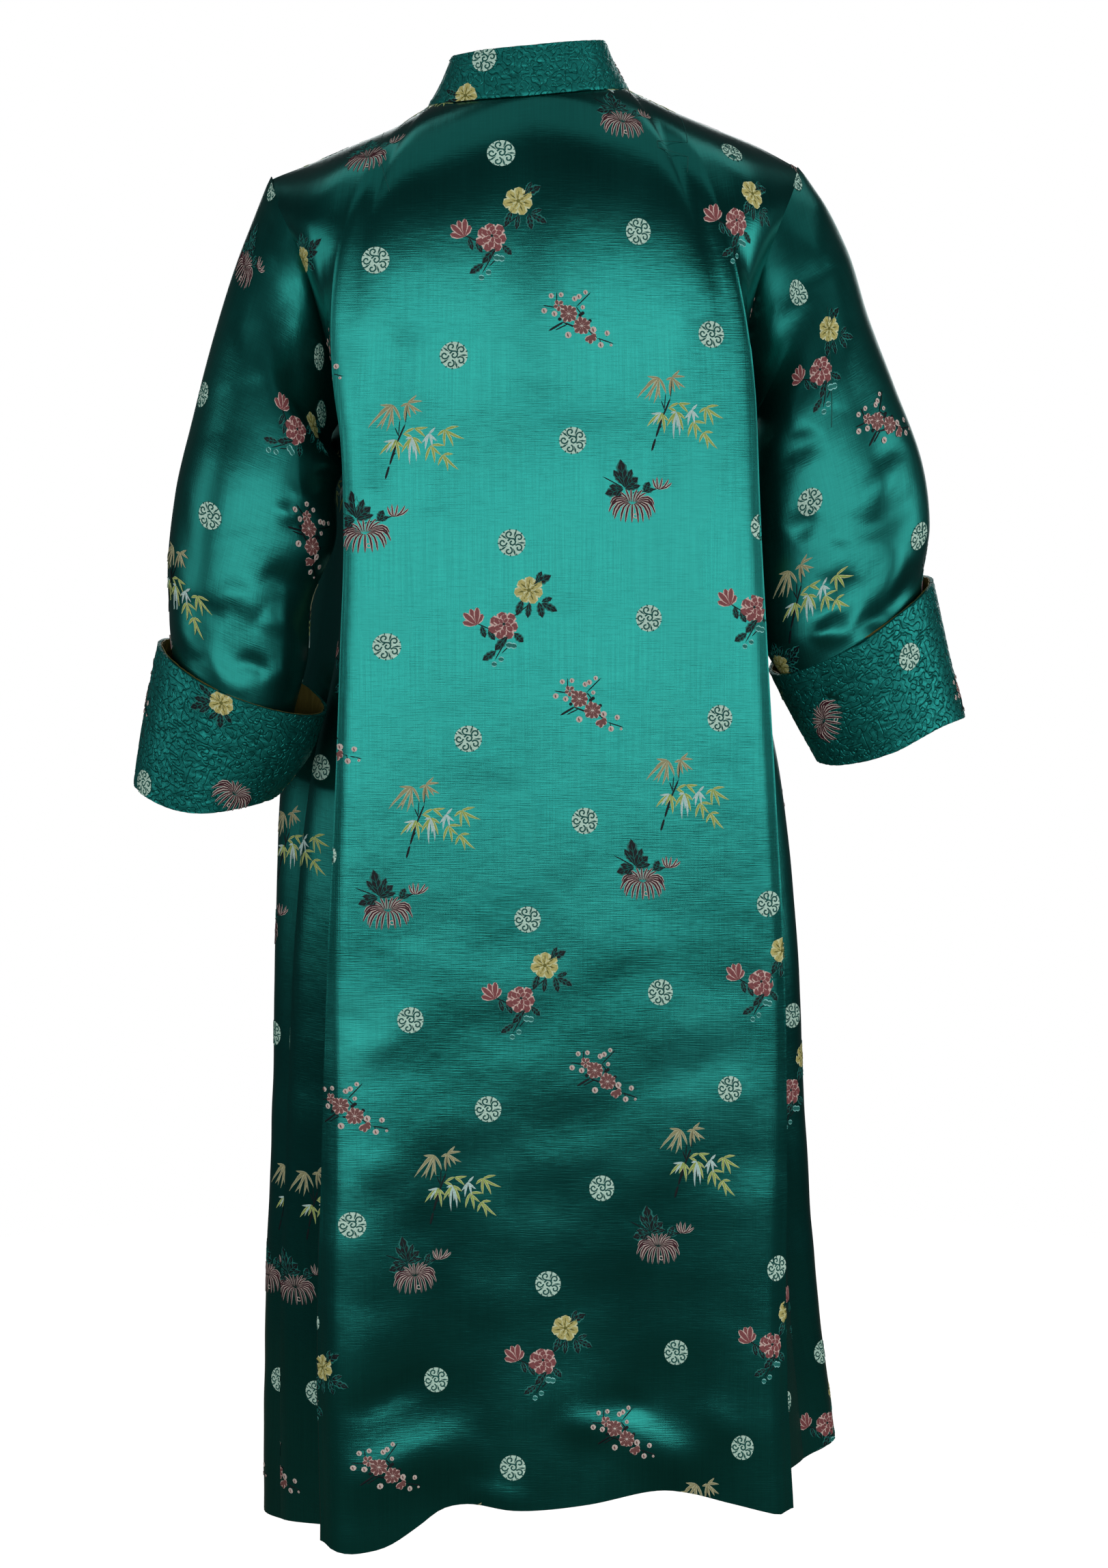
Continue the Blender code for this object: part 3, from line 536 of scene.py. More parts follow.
def plan_weights(t, crisp=1.0):
    """Catmull-Rom weight of each of the plan points at place t round the body, straightened where the back
    panel folds under, so that its edge is crisp."""
    t = np.mod(t, PLAN_POINTS)
    k = np.floor(t).astype(int)
    f = t - k
    parts = (
        (-1, (-f + 2 * f**2 - f**3) / 2),
        (0, (2 - 5 * f**2 + 3 * f**3) / 2),
        (1, (f + 4 * f**2 - 3 * f**3) / 2),
        (2, (-(f**2) + f**3) / 2),
    )
    near = np.minimum(np.abs(t - FOLD_T), np.abs(t - PLAN_POINTS + FOLD_T))
    crisp = FOLD_CRISP * crisp * np.exp(-((near / FOLD_WIDTH) ** 2))
    straight = {-1: 0 * f, 0: 1 - f, 1: f, 2: 0 * f}
    weights = np.zeros(t.shape + (PLAN_POINTS,))
    for shift, value in parts:
        value = value + (straight[shift] - value) * crisp
        at = ((k + shift) % PLAN_POINTS)[..., None]
        np.put_along_axis(weights, at, value[..., None] + np.take_along_axis(weights, at, -1), -1)
    return weights


def body_plan(t, z, crisp=1.0):
    """The weighted sum of the plan points at height z, pushed out by the skirt's upright folds."""
    left, right = half_plan(LEFT, z), half_plan(RIGHT, z)
    right = right * np.array((-1.0, 1.0))
    ring = np.concatenate([left, right[..., 8:0:-1, :]], -2)
    xy = (plan_weights(t, crisp)[..., None] * ring).sum(-2)
    for place, width, depth, start in FOLDS:
        push = depth * np.exp(-(((t - place) / width) ** 2)) * ramp((start - z) / FOLD_FADE)
        xy[..., 1] += np.where(np.abs(t) < SIDE_T, 1, -1) * push
    return np.concatenate([xy, z[..., None]], -1)


def top_edge(t):
    """Quarter ellipses round the neck, and the shoulder seam's curve outside it."""
    size, left = np.abs(t), t >= 0
    back, front = size < NECK_BACK_T, size > NECK_FRONT_T
    along = np.where(
        size <= SIDE_T,
        (size - NECK_BACK_T) / (SIDE_T - NECK_BACK_T),
        (NECK_FRONT_T - size) / (NECK_FRONT_T - SIDE_T),
    )
    seam = np.where(left[..., None], smooth(SHOULDER_LEFT, along), smooth(SHOULDER_RIGHT, along))
    side = np.where(left[..., None], SHOULDER_LEFT[0][1:], SHOULDER_RIGHT[0][1:])
    turn = np.where(back, size / NECK_BACK_T, (FRONT_T - size) / (FRONT_T - NECK_FRONT_T))
    turn = np.clip(turn, 0, 1) * np.pi / 2
    drop = np.where(front, NECK_FRONT_DROP * np.cos(turn) ** NECK_POWER, 0)
    neck = back | front
    x = np.where(neck, side[..., 0] * np.sin(turn), seam[..., 0])
    y = SHOULDER_BOW * np.sin(np.pi * np.clip(along, 0, 1))
    y = np.where(neck, np.where(back, NECK_BACK_Y, NECK_FRONT_Y) * np.cos(turn), y)
    z = np.where(neck, side[..., 1] * np.sin(turn) - drop, seam[..., 1])
    return np.stack([np.where(left, x, -x), y, z], -1)


def body(t, v, front):
    """The torso at place t, v: a cubic Bezier curve above the underarm (v < 1), the plan at each height
    below."""
    t, v = np.broadcast_arrays(np.asarray(t, float), np.asarray(v, float))
    hem = smooth(HEM, t)[..., 0]
    low = body_plan(t, UNDERARM + (hem - UNDERARM) * np.clip(v - 1, 0, 1))
    crisp = ramp((v - 0.5) / 0.5)
    start = body_plan(t, np.full(t.shape, UNDERARM), crisp)
    up = (body_plan(t, np.full(t.shape, UNDERARM + SLOPE_STEP), crisp) - start) / SLOPE_STEP
    top = top_edge(t)
    size, side = np.abs(t), np.where(t >= 0, 1.0, -1.0)
    pull = smooth(TOP_PULL_FRONT if front else TOP_PULL, size)
    pull[..., 0] *= side
    far = FRONT_REACH_T if front else FOLD_T
    near = ramp((size - far) / (SIDE_T - far))
    reach = np.zeros(t.shape + (3,))
    reach[..., 0] = 0 if front else near * side * BACK_REACH[0]
    reach[..., 1] = near * (-ARMHOLE_REACH if front else BACK_REACH[1])
    rise = BACK_RISE[0] + (BACK_RISE[1] - BACK_RISE[0]) * ramp(size / NECK_BACK_T)
    rise = np.where(front, FRONT_RISE, rise)[..., None]
    a, b = start, start + up * rise + reach
    c, d = top + pull, top
    f = (1 - np.clip(v, 0, 1))[..., None]
    high = (1 - f) ** 3 * a + 3 * f * (1 - f) ** 2 * b + 3 * f**2 * (1 - f) * c + f**3 * d
    return np.where(v[..., None] < 1, high, low)


def ring(table, at, turn, sign):
    """Ellipse that leans with its row: centre + wide*cos across + deep*sin back. It is at its outer edge at
    turn 0, and at its back at turn 0.25."""
    x, y, z, wide, deep, up, down = np.moveaxis(smooth(table, at), -1, 0)
    up, down, angle = np.radians(up), np.radians(down), 2 * np.pi * turn
    across, back = wide * np.cos(angle), deep * np.sin(angle)
    return np.stack(
        [
            sign * (x + across * np.cos(up)),
            y + back * np.cos(down),
            z + across * np.sin(up) - back * np.sin(down),
        ],
        -1,
    )


def armhole(turn, sign):
    """The edge t = 5 of the torso, down its back side for the first half turn, and up its front side."""
    turn = np.mod(turn, 1.0)
    t = np.full(turn.shape, sign * SIDE_T)
    v = np.clip(np.where(turn <= 0.5, 2 * turn, 2 * (1 - turn)), 0, 1)
    return np.where((turn <= 0.5)[..., None], body(t, v, False), body(t, v, True))


def cuff(table, part, turn, sign):
    """The cuff's ellipses, raised and lowered by two waves round the edge."""
    points = ring(table, part, turn, sign)
    for turns, height in CUFF_WAVES:
        points[..., 2] += height * np.sin(2 * np.pi * turns * turn + sign) * (0.3 + 0.7 * part)
    return points


def sleeve(table, cuff_table, part, turns, sign):
    """Hermite pieces down the arm, from the armhole through each ellipse to the end inside the cuff."""
    at = [0.0]
    loops = [armhole(turns, sign)]
    for line in table:
        at.append(line[0])
        loops.append(ring(table, np.full(turns.shape, line[0]), turns, sign))
    end_part, end_turn = grid_of(SLEEVE_END + np.array((-0.1, 0.0, 0.04)), turns)
    end = cuff(cuff_table, end_part, end_turn, sign)
    loops.append((end - outwards(end, True, sign) * SLEEVE_INSET)[1])
    at.append(at[-1] + SLEEVE_TAIL)
    table = np.column_stack([at, np.array(loops).reshape(len(at), -1)])
    points = smooth(table, part * at[-1]).reshape(len(part), len(turns), 3)
    points[0] += unit(points[1] - points[0]) * SLEEVE_GAP
    return points


def outwards(points, closed, sign):
    """Unit cross product of the steps across and down the grid, turned so that it points out of the garment.
    A closed grid repeats its first column, and a tube of the left arm runs the other way round."""
    if closed:
        wide = np.concatenate([points[:, -2:-1], points, points[:, 1:2]], 1)
        across = (wide[:, 2:] - wide[:, :-2]) / 2
    else:
        across = np.gradient(points, axis=1)
    return unit(np.cross(across, np.gradient(points, axis=0))) * (-sign if closed else sign)


def grid_of(down, across):
    """Two arrays over a grid: the first changes down it, the second across it."""
    return np.broadcast_arrays(np.asarray(down, float)[:, None], np.asarray(across, float)[None, :])


def spread(curve, count):
    """Values 0 to 1 at which a curve, given as points, is cut into stretches of equal length."""
    steps = np.linalg.norm(np.diff(curve, axis=0), axis=-1)
    length = np.concatenate([[0], np.cumsum(steps)])
    return np.interp(np.linspace(0, length[-1], count), length, np.linspace(0, 1, len(curve)))


class Cloth:
    """A piece of cloth: its grid of middle points, its outward normals, and each point's place on the flat
    cloth. Flat places are sums of chord lengths: a along each row, counted from the column start_column or,
    on a tube, from its top, and b down each column, counted from the row start_row."""

    def __init__(self, name, points, closed, sign, wall, start_row=0, start_column=0):
        self.name, self.points, self.closed, self.sign, self.wall = name, points, closed, sign, wall
        p = points
        across = np.cumsum(np.linalg.norm(np.diff(p, axis=1), axis=-1), 1)
        across = np.concatenate([np.zeros((len(p), 1)), across], 1)
        down = np.cumsum(np.linalg.norm(np.diff(p, axis=0), axis=-1), 0)
        down = np.concatenate([np.zeros((1, p.shape[1])), down], 0)
        if closed:
            start_column = (p.shape[1] - 1) * 3 // 4
        across -= across[:, start_column : start_column + 1]
        down -= down[start_row : start_row + 1].copy()
        self.flat = np.stack([across * (-sign if closed else sign), down], -1)
        cell = np.cross(p[1:, 1:] - p[:-1, :-1], p[1:, :-1] - p[:-1, 1:])
        self.area = np.linalg.norm(cell, axis=-1).sum() / 2
        self.relief, self.stitch = np.zeros((2,) + points.shape[:2])
        self.n = outwards(points, closed, sign)

    def push(self, height):
        """Moves the cloth along its normals, and works out the normals again."""
        self.points = self.points + self.n * height[..., None]
        self.n = outwards(self.points, self.closed, self.sign)

    def outer(self):
        """The side that shows, with its quilting."""
        return self.points + self.n * (self.wall / 2 + self.relief)[..., None]

    def inner(self):
        """The hidden side."""
        return self.points - self.n * (self.wall / 2)


def value_at(grid, i, j):
    """Weighted mean of the four grid values round the place i, j."""
    i0 = np.clip(np.floor(i).astype(int), 0, grid.shape[0] - 2)
    j0 = np.clip(np.floor(j).astype(int), 0, grid.shape[1] - 2)
    f, g = (i - i0)[..., None], (j - j0)[..., None]
    return (
        (1 - f) * (1 - g) * grid[i0, j0]
        + (1 - f) * g * grid[i0, j0 + 1]
        + f * (1 - g) * grid[i0 + 1, j0]
        + f * g * grid[i0 + 1, j0 + 1]
    )


def find_flat(cloth, flat):
    """Grid places i, j of places on the flat cloth, by Newton steps, and how far each one misses."""
    grid = cloth.flat
    last = np.array(grid.shape[:2], float) - 1
    low, high = grid.min((0, 1)), grid.max((0, 1))
    share = np.clip((flat - low) / (high - low), 0.02, 0.98)
    i, j = share[..., 1] * last[0], share[..., 0] * last[1]
    if grid[0, 0, 0] > grid[0, -1, 0]:
        j = last[1] - j
    slope_i, slope_j = np.gradient(grid, axis=0), np.gradient(grid, axis=1)
    for _ in range(NEWTON_STEPS):
        miss = value_at(grid, i, j) - flat
        down, side = value_at(slope_i, i, j), value_at(slope_j, i, j)
        det = down[..., 0] * side[..., 1] - down[..., 1] * side[..., 0]
        det = np.where(np.abs(det) < 1e-12, 1e-12, det)
        step_i = (miss[..., 0] * side[..., 1] - miss[..., 1] * side[..., 0]) / det
        step_j = (down[..., 0] * miss[..., 1] - down[..., 1] * miss[..., 0]) / det
        i = np.clip(i - np.clip(step_i, -NEWTON_REACH, NEWTON_REACH), 0, last[0] - 1e-6)
        j = np.clip(j - np.clip(step_j, -NEWTON_REACH, NEWTON_REACH), 0, last[1] - 1e-6)
    return i, j, np.linalg.norm(value_at(grid, i, j) - flat, axis=-1)


def creases_of(table):
    """A crease table's rows in metres. After one that faces both ways comes its twin in front: lower by
    TWIN_DROP at its ends, TWIN_SHARE as high and bowed the other way."""
    for *row, faces in table:
        x0, z0, x1, z1, width, height, bow = np.array(row) * MM
        yield x0, z0, x1, z1, width, height, bow, faces or 1
        if not faces:
            yield x0, z0 - TWIN_DROP[0], x1, z1 - TWIN_DROP[1], width, height * TWIN_SHARE, -bow, -1


def beside(cloth, x0, z0, x1, z1):
    """At each point of the cloth: the share along a line of the picture, and the distance aside of it."""
    x, z = cloth.points[..., 0] - x0, cloth.points[..., 2] - z0
    length = np.hypot(x1 - x0, z1 - z0)
    way = (x1 - x0) / length, (z1 - z0) / length
    return np.clip((x * way[0] + z * way[1]) / length, 0, 1), x * way[1] - z * way[0]


def crease_height(cloth, table):
    """Sum over the creases of height * exp(-(distance / width)^2) * sin(pi * share along)^0.7."""
    total = 0
    for *ends, width, height, bow, faces in creases_of(table):
        share, off = beside(cloth, *ends)
        off = off - bow * 4 * share * (1 - share)
        facing = ramp(faces * cloth.n[..., 1] * CREASE_FACING[0] + CREASE_FACING[1])
        total = total + height * np.exp(-((off / width) ** 2)) * np.sin(np.pi * share) ** 0.7 * facing
    return total


def soft_swell(cloth):
    """Slow undulation of the skirt: sines of height WAVES' third column, whose waves are as long across and
    down as its first two, growing from the hips to the hem."""
    x, z = cloth.points[..., 0], cloth.points[..., 2]
    total = np.zeros(x.shape)
    for k, (across, down, height) in enumerate(WAVES):
        bend = 0.9 * np.sin(2 * np.pi * x / (across * 1.7) + 1.3 * k)
        total += height * np.sin(2 * np.pi * (x / across + z / down) + bend + 2.1 * k)
    return total * ramp((HIP_Z - z) / HIP_FADE)


def ridge_height(cloth, x0, z0, x1, z1, width, height):
    """As a crease, with straight flanks, so that it has an edge: height * max(0, 1 - distance / width)."""
    _, off = beside(cloth, x0, z0, x1, z1)
    return height * np.maximum(0, 1 - np.abs(off) / width) * (cloth.n[..., 1] > 0)


def sink_edges(cloth, top, columns):
    """Lowers the cloth by SEAM_SINK * exp(-(distance to the seam / SEAM_REACH)^2) along its top, where
    asked, and along the named columns."""
    across, down = cloth.flat[..., 0], cloth.flat[..., 1]
    near = [down - down[0]] if top else []
    near += [across - across[:, [line]] for line in columns]
    cloth.push(-SEAM_SINK * sum(np.exp(-((d / SEAM_REACH) ** 2)) for d in near))


def vermicelli(flat):
    """Sum of cosine waves in QUILT_WAVES ways, each with a wavelength near twice the quilting's pitch: its
    zero line wanders like the stitching, and the silk puffs up on both sides of it."""
    k = np.arange(QUILT_WAVES)
    way = k * GOLDEN_ANGLE
    length = 2 * QUILT_PITCH * (1 + QUILT_SPREAD * np.sin(k * 1.7))
    phase = flat[..., 0:1] * np.cos(way) + flat[..., 1:2] * np.sin(way)
    return np.cos(2 * np.pi * phase / length + k * k * 1.3).sum(-1) / np.sqrt(QUILT_WAVES / 2)


def quilt(cloth):
    """Puffs the cloth by QUILT_RISE * (1 - exp(-(line / QUILT_LINE)^2)), and marks the line along its
    stitching where the quilted silk is painted darker: the thread itself and painted shade in the sunken
    groove.
    """
    line = vermicelli(cloth.flat)
    cloth.relief = QUILT_RISE * (1 - np.exp(-((line / QUILT_LINE) ** 2)))
    # Mask of the stitching line: the thread and painted shade in its groove
    cloth.stitch = np.exp(-((line / STITCH_AND_SHADE_LINE) ** 2))


def pulled(points, edge, inner, gap, axis):
    """Moves one edge line of the grid inwards by a gap."""
    p = np.moveaxis(points, axis, 0)
    p[edge] += unit(p[inner] - p[edge]) * gap


def back_columns():
    """Places of the back's columns: even along the cloth, and closer at the folds under its sides."""
    curve = body(np.linspace(-SIDE_T, SIDE_T, 2 * SPREAD_STEPS + 1), SPREAD_V, False)
    t = -SIDE_T + 2 * SIDE_T * spread(curve, BACK_COLUMNS)
    edges = [side * (FOLD_T + off) for side in (-1, 1) for off in FOLD_COLUMNS]
    return np.unique(np.concatenate([t[np.abs(np.abs(t) - FOLD_T) > FOLD_CLEAR], edges]))


def front_columns(sign):
    """Places of a front's columns, even along the cloth from its side seam to the centre."""
    curve = body(sign * np.linspace(SIDE_T, FRONT_T, SPREAD_STEPS + 1), SPREAD_V, True)
    return sign * (SIDE_T + (FRONT_T - SIDE_T) * spread(curve, FRONT_COLUMNS))


def drape_body():
    """Back panel and two fronts, each on the torso's surface with its creases."""
    above, below = BODY_ROWS
    down = np.concatenate([np.linspace(0, 1, above)[:-1], np.linspace(1, 2, below)])
    for name, sign in (("back", 0), ("front_left", 1), ("front_right", -1)):
        front = sign != 0
        t = front_columns(sign) if front else back_columns()
        v, places = grid_of(down, t)
        points = body(places, v, front)
        pulled(points, 0, 1, SEAM_GAP / 2, 0)
        pulled(points, 0, 1, SEAM_GAP / 2, 1)
        pulled(points, -1, -2, FRONT_GAP / 2 if front else SEAM_GAP / 2, 1)
        middle = len(t) - 1 if front else int(np.abs(t).argmin())
        cloth = Cloth(name, points, False, sign or 1, SILK, above - 1, middle)
        cloth.push(crease_height(cloth, BODY_CREASES) + soft_swell(cloth))
        sink_edges(cloth, True, (0,) if front else (0, -1))
        yield cloth


def tube_grid(grid, first=0.0, last=1.0):
    """Part along and turn round a tube, whose rings start and end at the seam on the inner side."""
    return grid_of(np.linspace(first, last, grid[0]), 0.5 + np.linspace(0, 1, grid[1]))


def drape_arm(side, sign, table, cuff_table):
    """Sleeve, cuff and cuff lining of one arm."""
    part, turn = tube_grid(SLEEVE_GRID)
    points = sleeve(table, cuff_table, part[:, 0], turn[0], sign)
    arm = Cloth("sleeve_" + side, points, True, sign, SILK, SLEEVE_START_ROW)
    arm.push(crease_height(arm, ARM_CREASES[side]) * ARM_CREASE_SHARE[side])
    sink_edges(arm, True, (0, -1))
    outer = Cloth("cuff_" + side, cuff(cuff_table, *tube_grid(CUFF_GRID), sign), True, sign, QUILT)
    outer.push(ridge_height(outer, *CUFF_CREASE[side]))
    quilt(outer)
    points = cuff(cuff_table, *tube_grid(LINING_GRID, *LINING_SPAN), sign)
    points = points - outwards(points, True, sign) * (QUILT / 2 + LINING / 2 + LINING_GAP)
    lining = Cloth("cuff_lining_" + side, points, True, sign, LINING)
    lining.push(crinkle(lining.flat))
    return arm, outer, lining


def crinkle(flat):
    """Fine upright crinkles of the lining: the sine waves of CRINKLES across, bent by a slower one down."""
    a, b = flat[..., 0], flat[..., 1]
    bend = CRINKLE_BEND * np.sin(b * 70 + 2 * np.sin(a * 40))
    return sum(high * np.sin(2 * np.pi * (a + bend) / length + 9 * b) for length, high in CRINKLES)


def body_normals(t, v, front):
    """Unit cross product of short steps across and down the torso, kept inside the panel."""
    step = 1e-3
    size, side = np.abs(t), np.where(t >= 0, 1.0, -1.0)
    if front:
        more, less = size + step, np.where(v < 1, np.maximum(size - step, SIDE_T), size - step)
        across = (body(side * more, v, True) - body(side * less, v, True)) * side[..., None]
    else:
        limit = np.where(v < 1, SIDE_T, FRONT_T)
        across = body(np.minimum(t + step, limit), v, False) - body(np.maximum(t - step, -limit), v, False)
    down = body(t, v + step, front) - body(t, v, front)
    return unit(np.cross(across, down))


def on_body(t, v, front, out):
    """Points of the torso moved out along its normals, for places of the back and the front together."""
    back = body(t, v, False) + body_normals(t, v, False) * out
    fore = body(t, v, True) + body_normals(t, v, True) * out
    return np.where(front[..., None], fore, back)


def collar(part, rise, sign):
    """The collar's base on the torso, raised by height * rise and leant in by lean * rise^0.8. Its foot goes
    a little below the base, into the seam."""
    front = part > 0.5
    t = np.where(front, NECK_FRONT_T + (part - 0.5) / 0.5 * 2.0, part / 0.5 * NECK_BACK_T)
    below = COLLAR_LAP * (1 - np.exp(-(((part - 0.5) / COLLAR_CORNER) ** 2)))
    base = on_body(sign * t, below, front, COLLAR_GAP)
    height, lean = np.moveaxis(smooth(COLLAR, part), -1, 0)
    points = base.copy()
    points[..., :2] += unit(NECK_MIDDLE - base[..., :2]) * (lean * np.maximum(rise, 0) ** 0.8)[..., None]
    points[..., 2] += height * rise
    return points


def drape_collar():
    """Both halves of the quilted collar, joined at the centre back."""
    down, across = COLLAR_GRID
    for name, sign in (("collar_left", 1), ("collar_right", -1)):
        rise, part = grid_of(np.linspace(1, COLLAR_FOOT, down), np.linspace(0, 1, across))
        points = collar(part, rise, sign)
        pulled(points, 0, 1, SEAM_GAP / 2, 1)
        pulled(points, -1, -2, FRONT_GAP / 2, 1)
        half = Cloth(name, points, False, sign, QUILT)
        quilt(half)
        sink_edges(half, False, (0,))
        yield half


def add_mesh(name, points, quads, materials, slots=None, uv=None, values=()):
    """A mesh from arrays: four corners and a material slot a face, a UV place a corner, values a point."""
    mesh = bpy.data.meshes.new(name)
    mesh.vertices.add(len(points))
    mesh.vertices.foreach_set("co", np.ascontiguousarray(points, np.float32).ravel())
    mesh.loops.add(quads.size)
    mesh.loops.foreach_set("vertex_index", np.ascontiguousarray(quads, np.int32).ravel())
    mesh.polygons.add(len(quads))
    mesh.polygons.foreach_set("loop_start", np.arange(0, quads.size, 4, dtype=np.int32))
    for made in materials:
        mesh.materials.append(made)
    if slots is not None:
        mesh.polygons.foreach_set("material_index", np.ascontiguousarray(slots, np.int32))
    if uv is not None:
        layer = mesh.uv_layers.new(name="cloth")
        layer.data.foreach_set("uv", np.ascontiguousarray(uv, np.float32).ravel())
    mesh.update(calc_edges=True)
    for label, kind, data in values:
        attribute = mesh.attributes.new(label, kind, "POINT")
        key = "value" if kind == "FLOAT" else "color"
        attribute.data.foreach_set(key, np.ascontiguousarray(data, np.float32).ravel())
    mesh.polygons.foreach_set("use_smooth", np.ones(len(quads), bool))
    mesh.set_sharp_from_angle(angle=np.radians(SHARP_ANGLE))
    mesh.validate()
    made = bpy.data.objects.new(name, mesh)
    bpy.context.scene.collection.objects.link(made)
    return made


def cells(grid):
    """The quads of a grid of point numbers."""
    return np.stack([grid[:-1, :-1], grid[1:, :-1], grid[1:, 1:], grid[:-1, 1:]], -1).reshape(-1, 4)


def turned_out(points, quads):
    """The faces, turned round if the volume that they close, the sum of their corners' triple products, is
    below zero."""
    p = points[quads]
    volume = (p[:, 0] * (np.cross(p[:, 1], p[:, 2]) + np.cross(p[:, 2], p[:, 3]))).sum()
    return quads[:, ::-1] if volume < 0 else quads


def shell(cloth, face, lining, edge=None):
    """The cloth's outer grid, its inner grid and the rims between them, as one closed body."""
    down, across = cloth.points.shape[:2]
    wide = across - 1 if cloth.closed else across
    outer, inner = cloth.outer()[:, :wide], cloth.inner()[:, :wide]
    points = np.concatenate([outer.reshape(-1, 3), inner.reshape(-1, 3)])
    place = np.arange(down * across).reshape(down, across)
    corner = np.arange(down)[:, None] * wide + np.arange(across)[None, :] % wide

    def rim(line, shift):
        """Quads between an edge line of the outer grid and the same line of the inner one."""
        return np.stack([line[:-1], line[1:], line[1:] + shift, line[:-1] + shift], -1)

    def closed_up(grid, shift):
        """All quads: outer grid, inner grid, top and bottom rim, and the side rims of a flat piece."""
        front = cells(grid)
        parts = [front, front[:, ::-1] + shift, rim(grid[0], shift), rim(grid[-1][::-1], shift)]
        if not cloth.closed:
            parts += [rim(grid[::-1, 0], shift), rim(grid[:, -1], shift)]
        return parts

    faces, places = closed_up(corner, down * wide), closed_up(place, down * across)
    slots = np.concatenate([np.full(len(part), min(k, 3)) for k, part in enumerate(faces)])
    faces, places = np.concatenate(faces), np.concatenate(places)
    turned = turned_out(points, faces)
    if turned is not faces:
        places = places[:, ::-1]
    uv = np.concatenate([cloth.flat.reshape(-1, 2)] * 2)[places]
    # The stitching mask goes with the points, for the thread and painted shade along the quilting's grooves
    stitch = np.concatenate([cloth.stitch[:, :wide].ravel()] * 2)
    looks = [face, lining, edge or face, face]
    return add_mesh(cloth.name + "_cloth", points, turned, looks, slots, uv, [("stitch", "FLOAT", stitch)])


# Figures of the brocade, in millimetres: right and down in the picture. Each is a list of ribbons: a spine,
# the half width along it, its thread, the thread of its outline, and how many ribbons it lies on.
SHORT, EVEN, ROUND = ((1 - np.cos(np.linspace(0, np.pi, count))) / 2 for count in (5, 7, 15))
BRIEF, TOOTHED = np.linspace(0, 1, 3), np.linspace(0, 1, 9)
LONG = 11.5
THINNEST = 0.06
SCROLL_POINTS = 10


def leaf(at, to, width, fill, line, bend=0.0, full=0.5, tip=1.0, level=0, share=None):
    """Spine: straight from at to to, bowed aside by bend * length * 4s(1-s). Half width:
    width/2 * (4u(1-u))^tip with u = s^p, where p puts the widest place at the share full. A long one has
    more points."""
    at, to = np.array(at, float), np.array(to, float)
    way = to - at
    if share is None:
        share = EVEN if np.linalg.norm(way) > LONG else SHORT
    aside = np.array((-way[1], way[0]))
    spine = at + way * share[:, None] + aside * (bend * 4 * share * (1 - share))[:, None]
    u = share ** (np.log(0.5) / np.log(full))
    half = np.maximum(width / 2 * (4 * u * (1 - u)) ** tip, THINNEST)
    return spine, half, fill, line, level


def disc(at, radius, fill, line, level=0, share=SHORT):
    """A round ribbon: half width radius * sqrt(4s(1-s))."""
    ends = np.array(at) + ((-radius, 0), (radius, 0))
    return leaf(*ends, 2 * radius, fill, line, tip=0.5, level=level, share=share)


def twig(at, to, width, level=0, thread="navy", share=SHORT):
    """A stem, of nearly even width."""
    return leaf(at, to, width, thread, thread, tip=0.25, level=level, share=share)


def twigs(*rows):
    """Stems from rows of both ends and the width."""
    return [twig(*row) for row in rows]


def blade(at, to, width):
    """A dark toothed leaf, a fifth narrower between its teeth, with a vein down its middle and two aside."""
    spine, half, *rest = leaf(at, to, width * 1.12, "navy", "slate", tip=0.75, full=0.52, share=TOOTHED)
    half = half * (0.89 + 0.11 * (-1.0) ** np.arange(len(half)))
    at, to = np.array(at, float), np.array(to, float)
    way = to - at
    aside = np.array((-way[1], way[0])) / np.linalg.norm(way) * width * 0.30
    made = [(spine, half, *rest), twig(at, at + way * 0.82, 0.60, 2, "slate", BRIEF)]
    for share in (0.25, 0.50) if width > 5.8 else (0.40,):
        for way_out in (1, -1):
            foot = at + way * share
            made.append(twig(foot, foot + way * 0.20 + aside * way_out, 0.50, 2, "slate", BRIEF))
    return made


def blades(*rows):
    """Dark leaves from rows of both ends and the width."""
    return [ribbon for row in rows for ribbon in blade(*row)]


def petal(at, to, width, fill, line, level=0, full=0.62):
    """A blunt leaf, widest near its end."""
    return leaf(at, to, width, fill, line, full=full, tip=0.6, level=level)


def arc(at, over, to, width, thread, level=0, share=EVEN):
    """A ribbon whose spine is the quadratic curve from at to to, drawn towards over."""
    at, over, to, s = np.array(at, float), np.array(over, float), np.array(to, float), share[:, None]
    spine = (1 - s) ** 2 * at + 2 * s * (1 - s) * over + s**2 * to
    _, half, *rest = leaf((0, 0), (1, 0), width, thread, thread, tip=0.5, full=0.6, level=level, share=share)
    return (spine, half, *rest)


def lined_arc(path, width, inner, level, above, share=EVEN):
    """A pale petal along an arc, and a dark line down it."""
    return [arc(*path, width, "shell", level, share), arc(*path, inner, "maroon", above, share)]


def way_at(degrees):
    """Unit vector at an angle."""
    return np.stack([np.cos(np.radians(degrees)), np.sin(np.radians(degrees))], -1)


def scroll(at, start, turn, wide, narrow, width, thread="gap", level=2):
    """A spiral: the angle runs from start over turn degrees while the radius goes from wide to narrow."""
    share = np.linspace(0, 1, SCROLL_POINTS)
    spine = np.array(at, float) + (wide + (narrow - wide) * share)[:, None] * way_at(start + turn * share)
    return spine, np.full(SCROLL_POINTS, width / 2), thread, thread, level


def flower(at, petals, radius, width, fill, line, start=0.0, level=0, full=0.62, groove=None):
    """Petals evenly round a middle, each from a tenth of the radius to all of it, and their grooves."""
    at, made = np.array(at, float), []
    for k in range(petals):
        way = radius * way_at(start + 360 * k / petals)
        reach = 1 + 0.06 * np.sin(2.4 * k)
        made.append(petal(at + way * 0.1, at + way * reach, width, fill, line, level, full))
        if groove:
            ends = at + way * 0.2, at + way * reach * 0.76
            made.append(twig(*ends, width * 0.15, level + 2, groove, BRIEF))
    return made


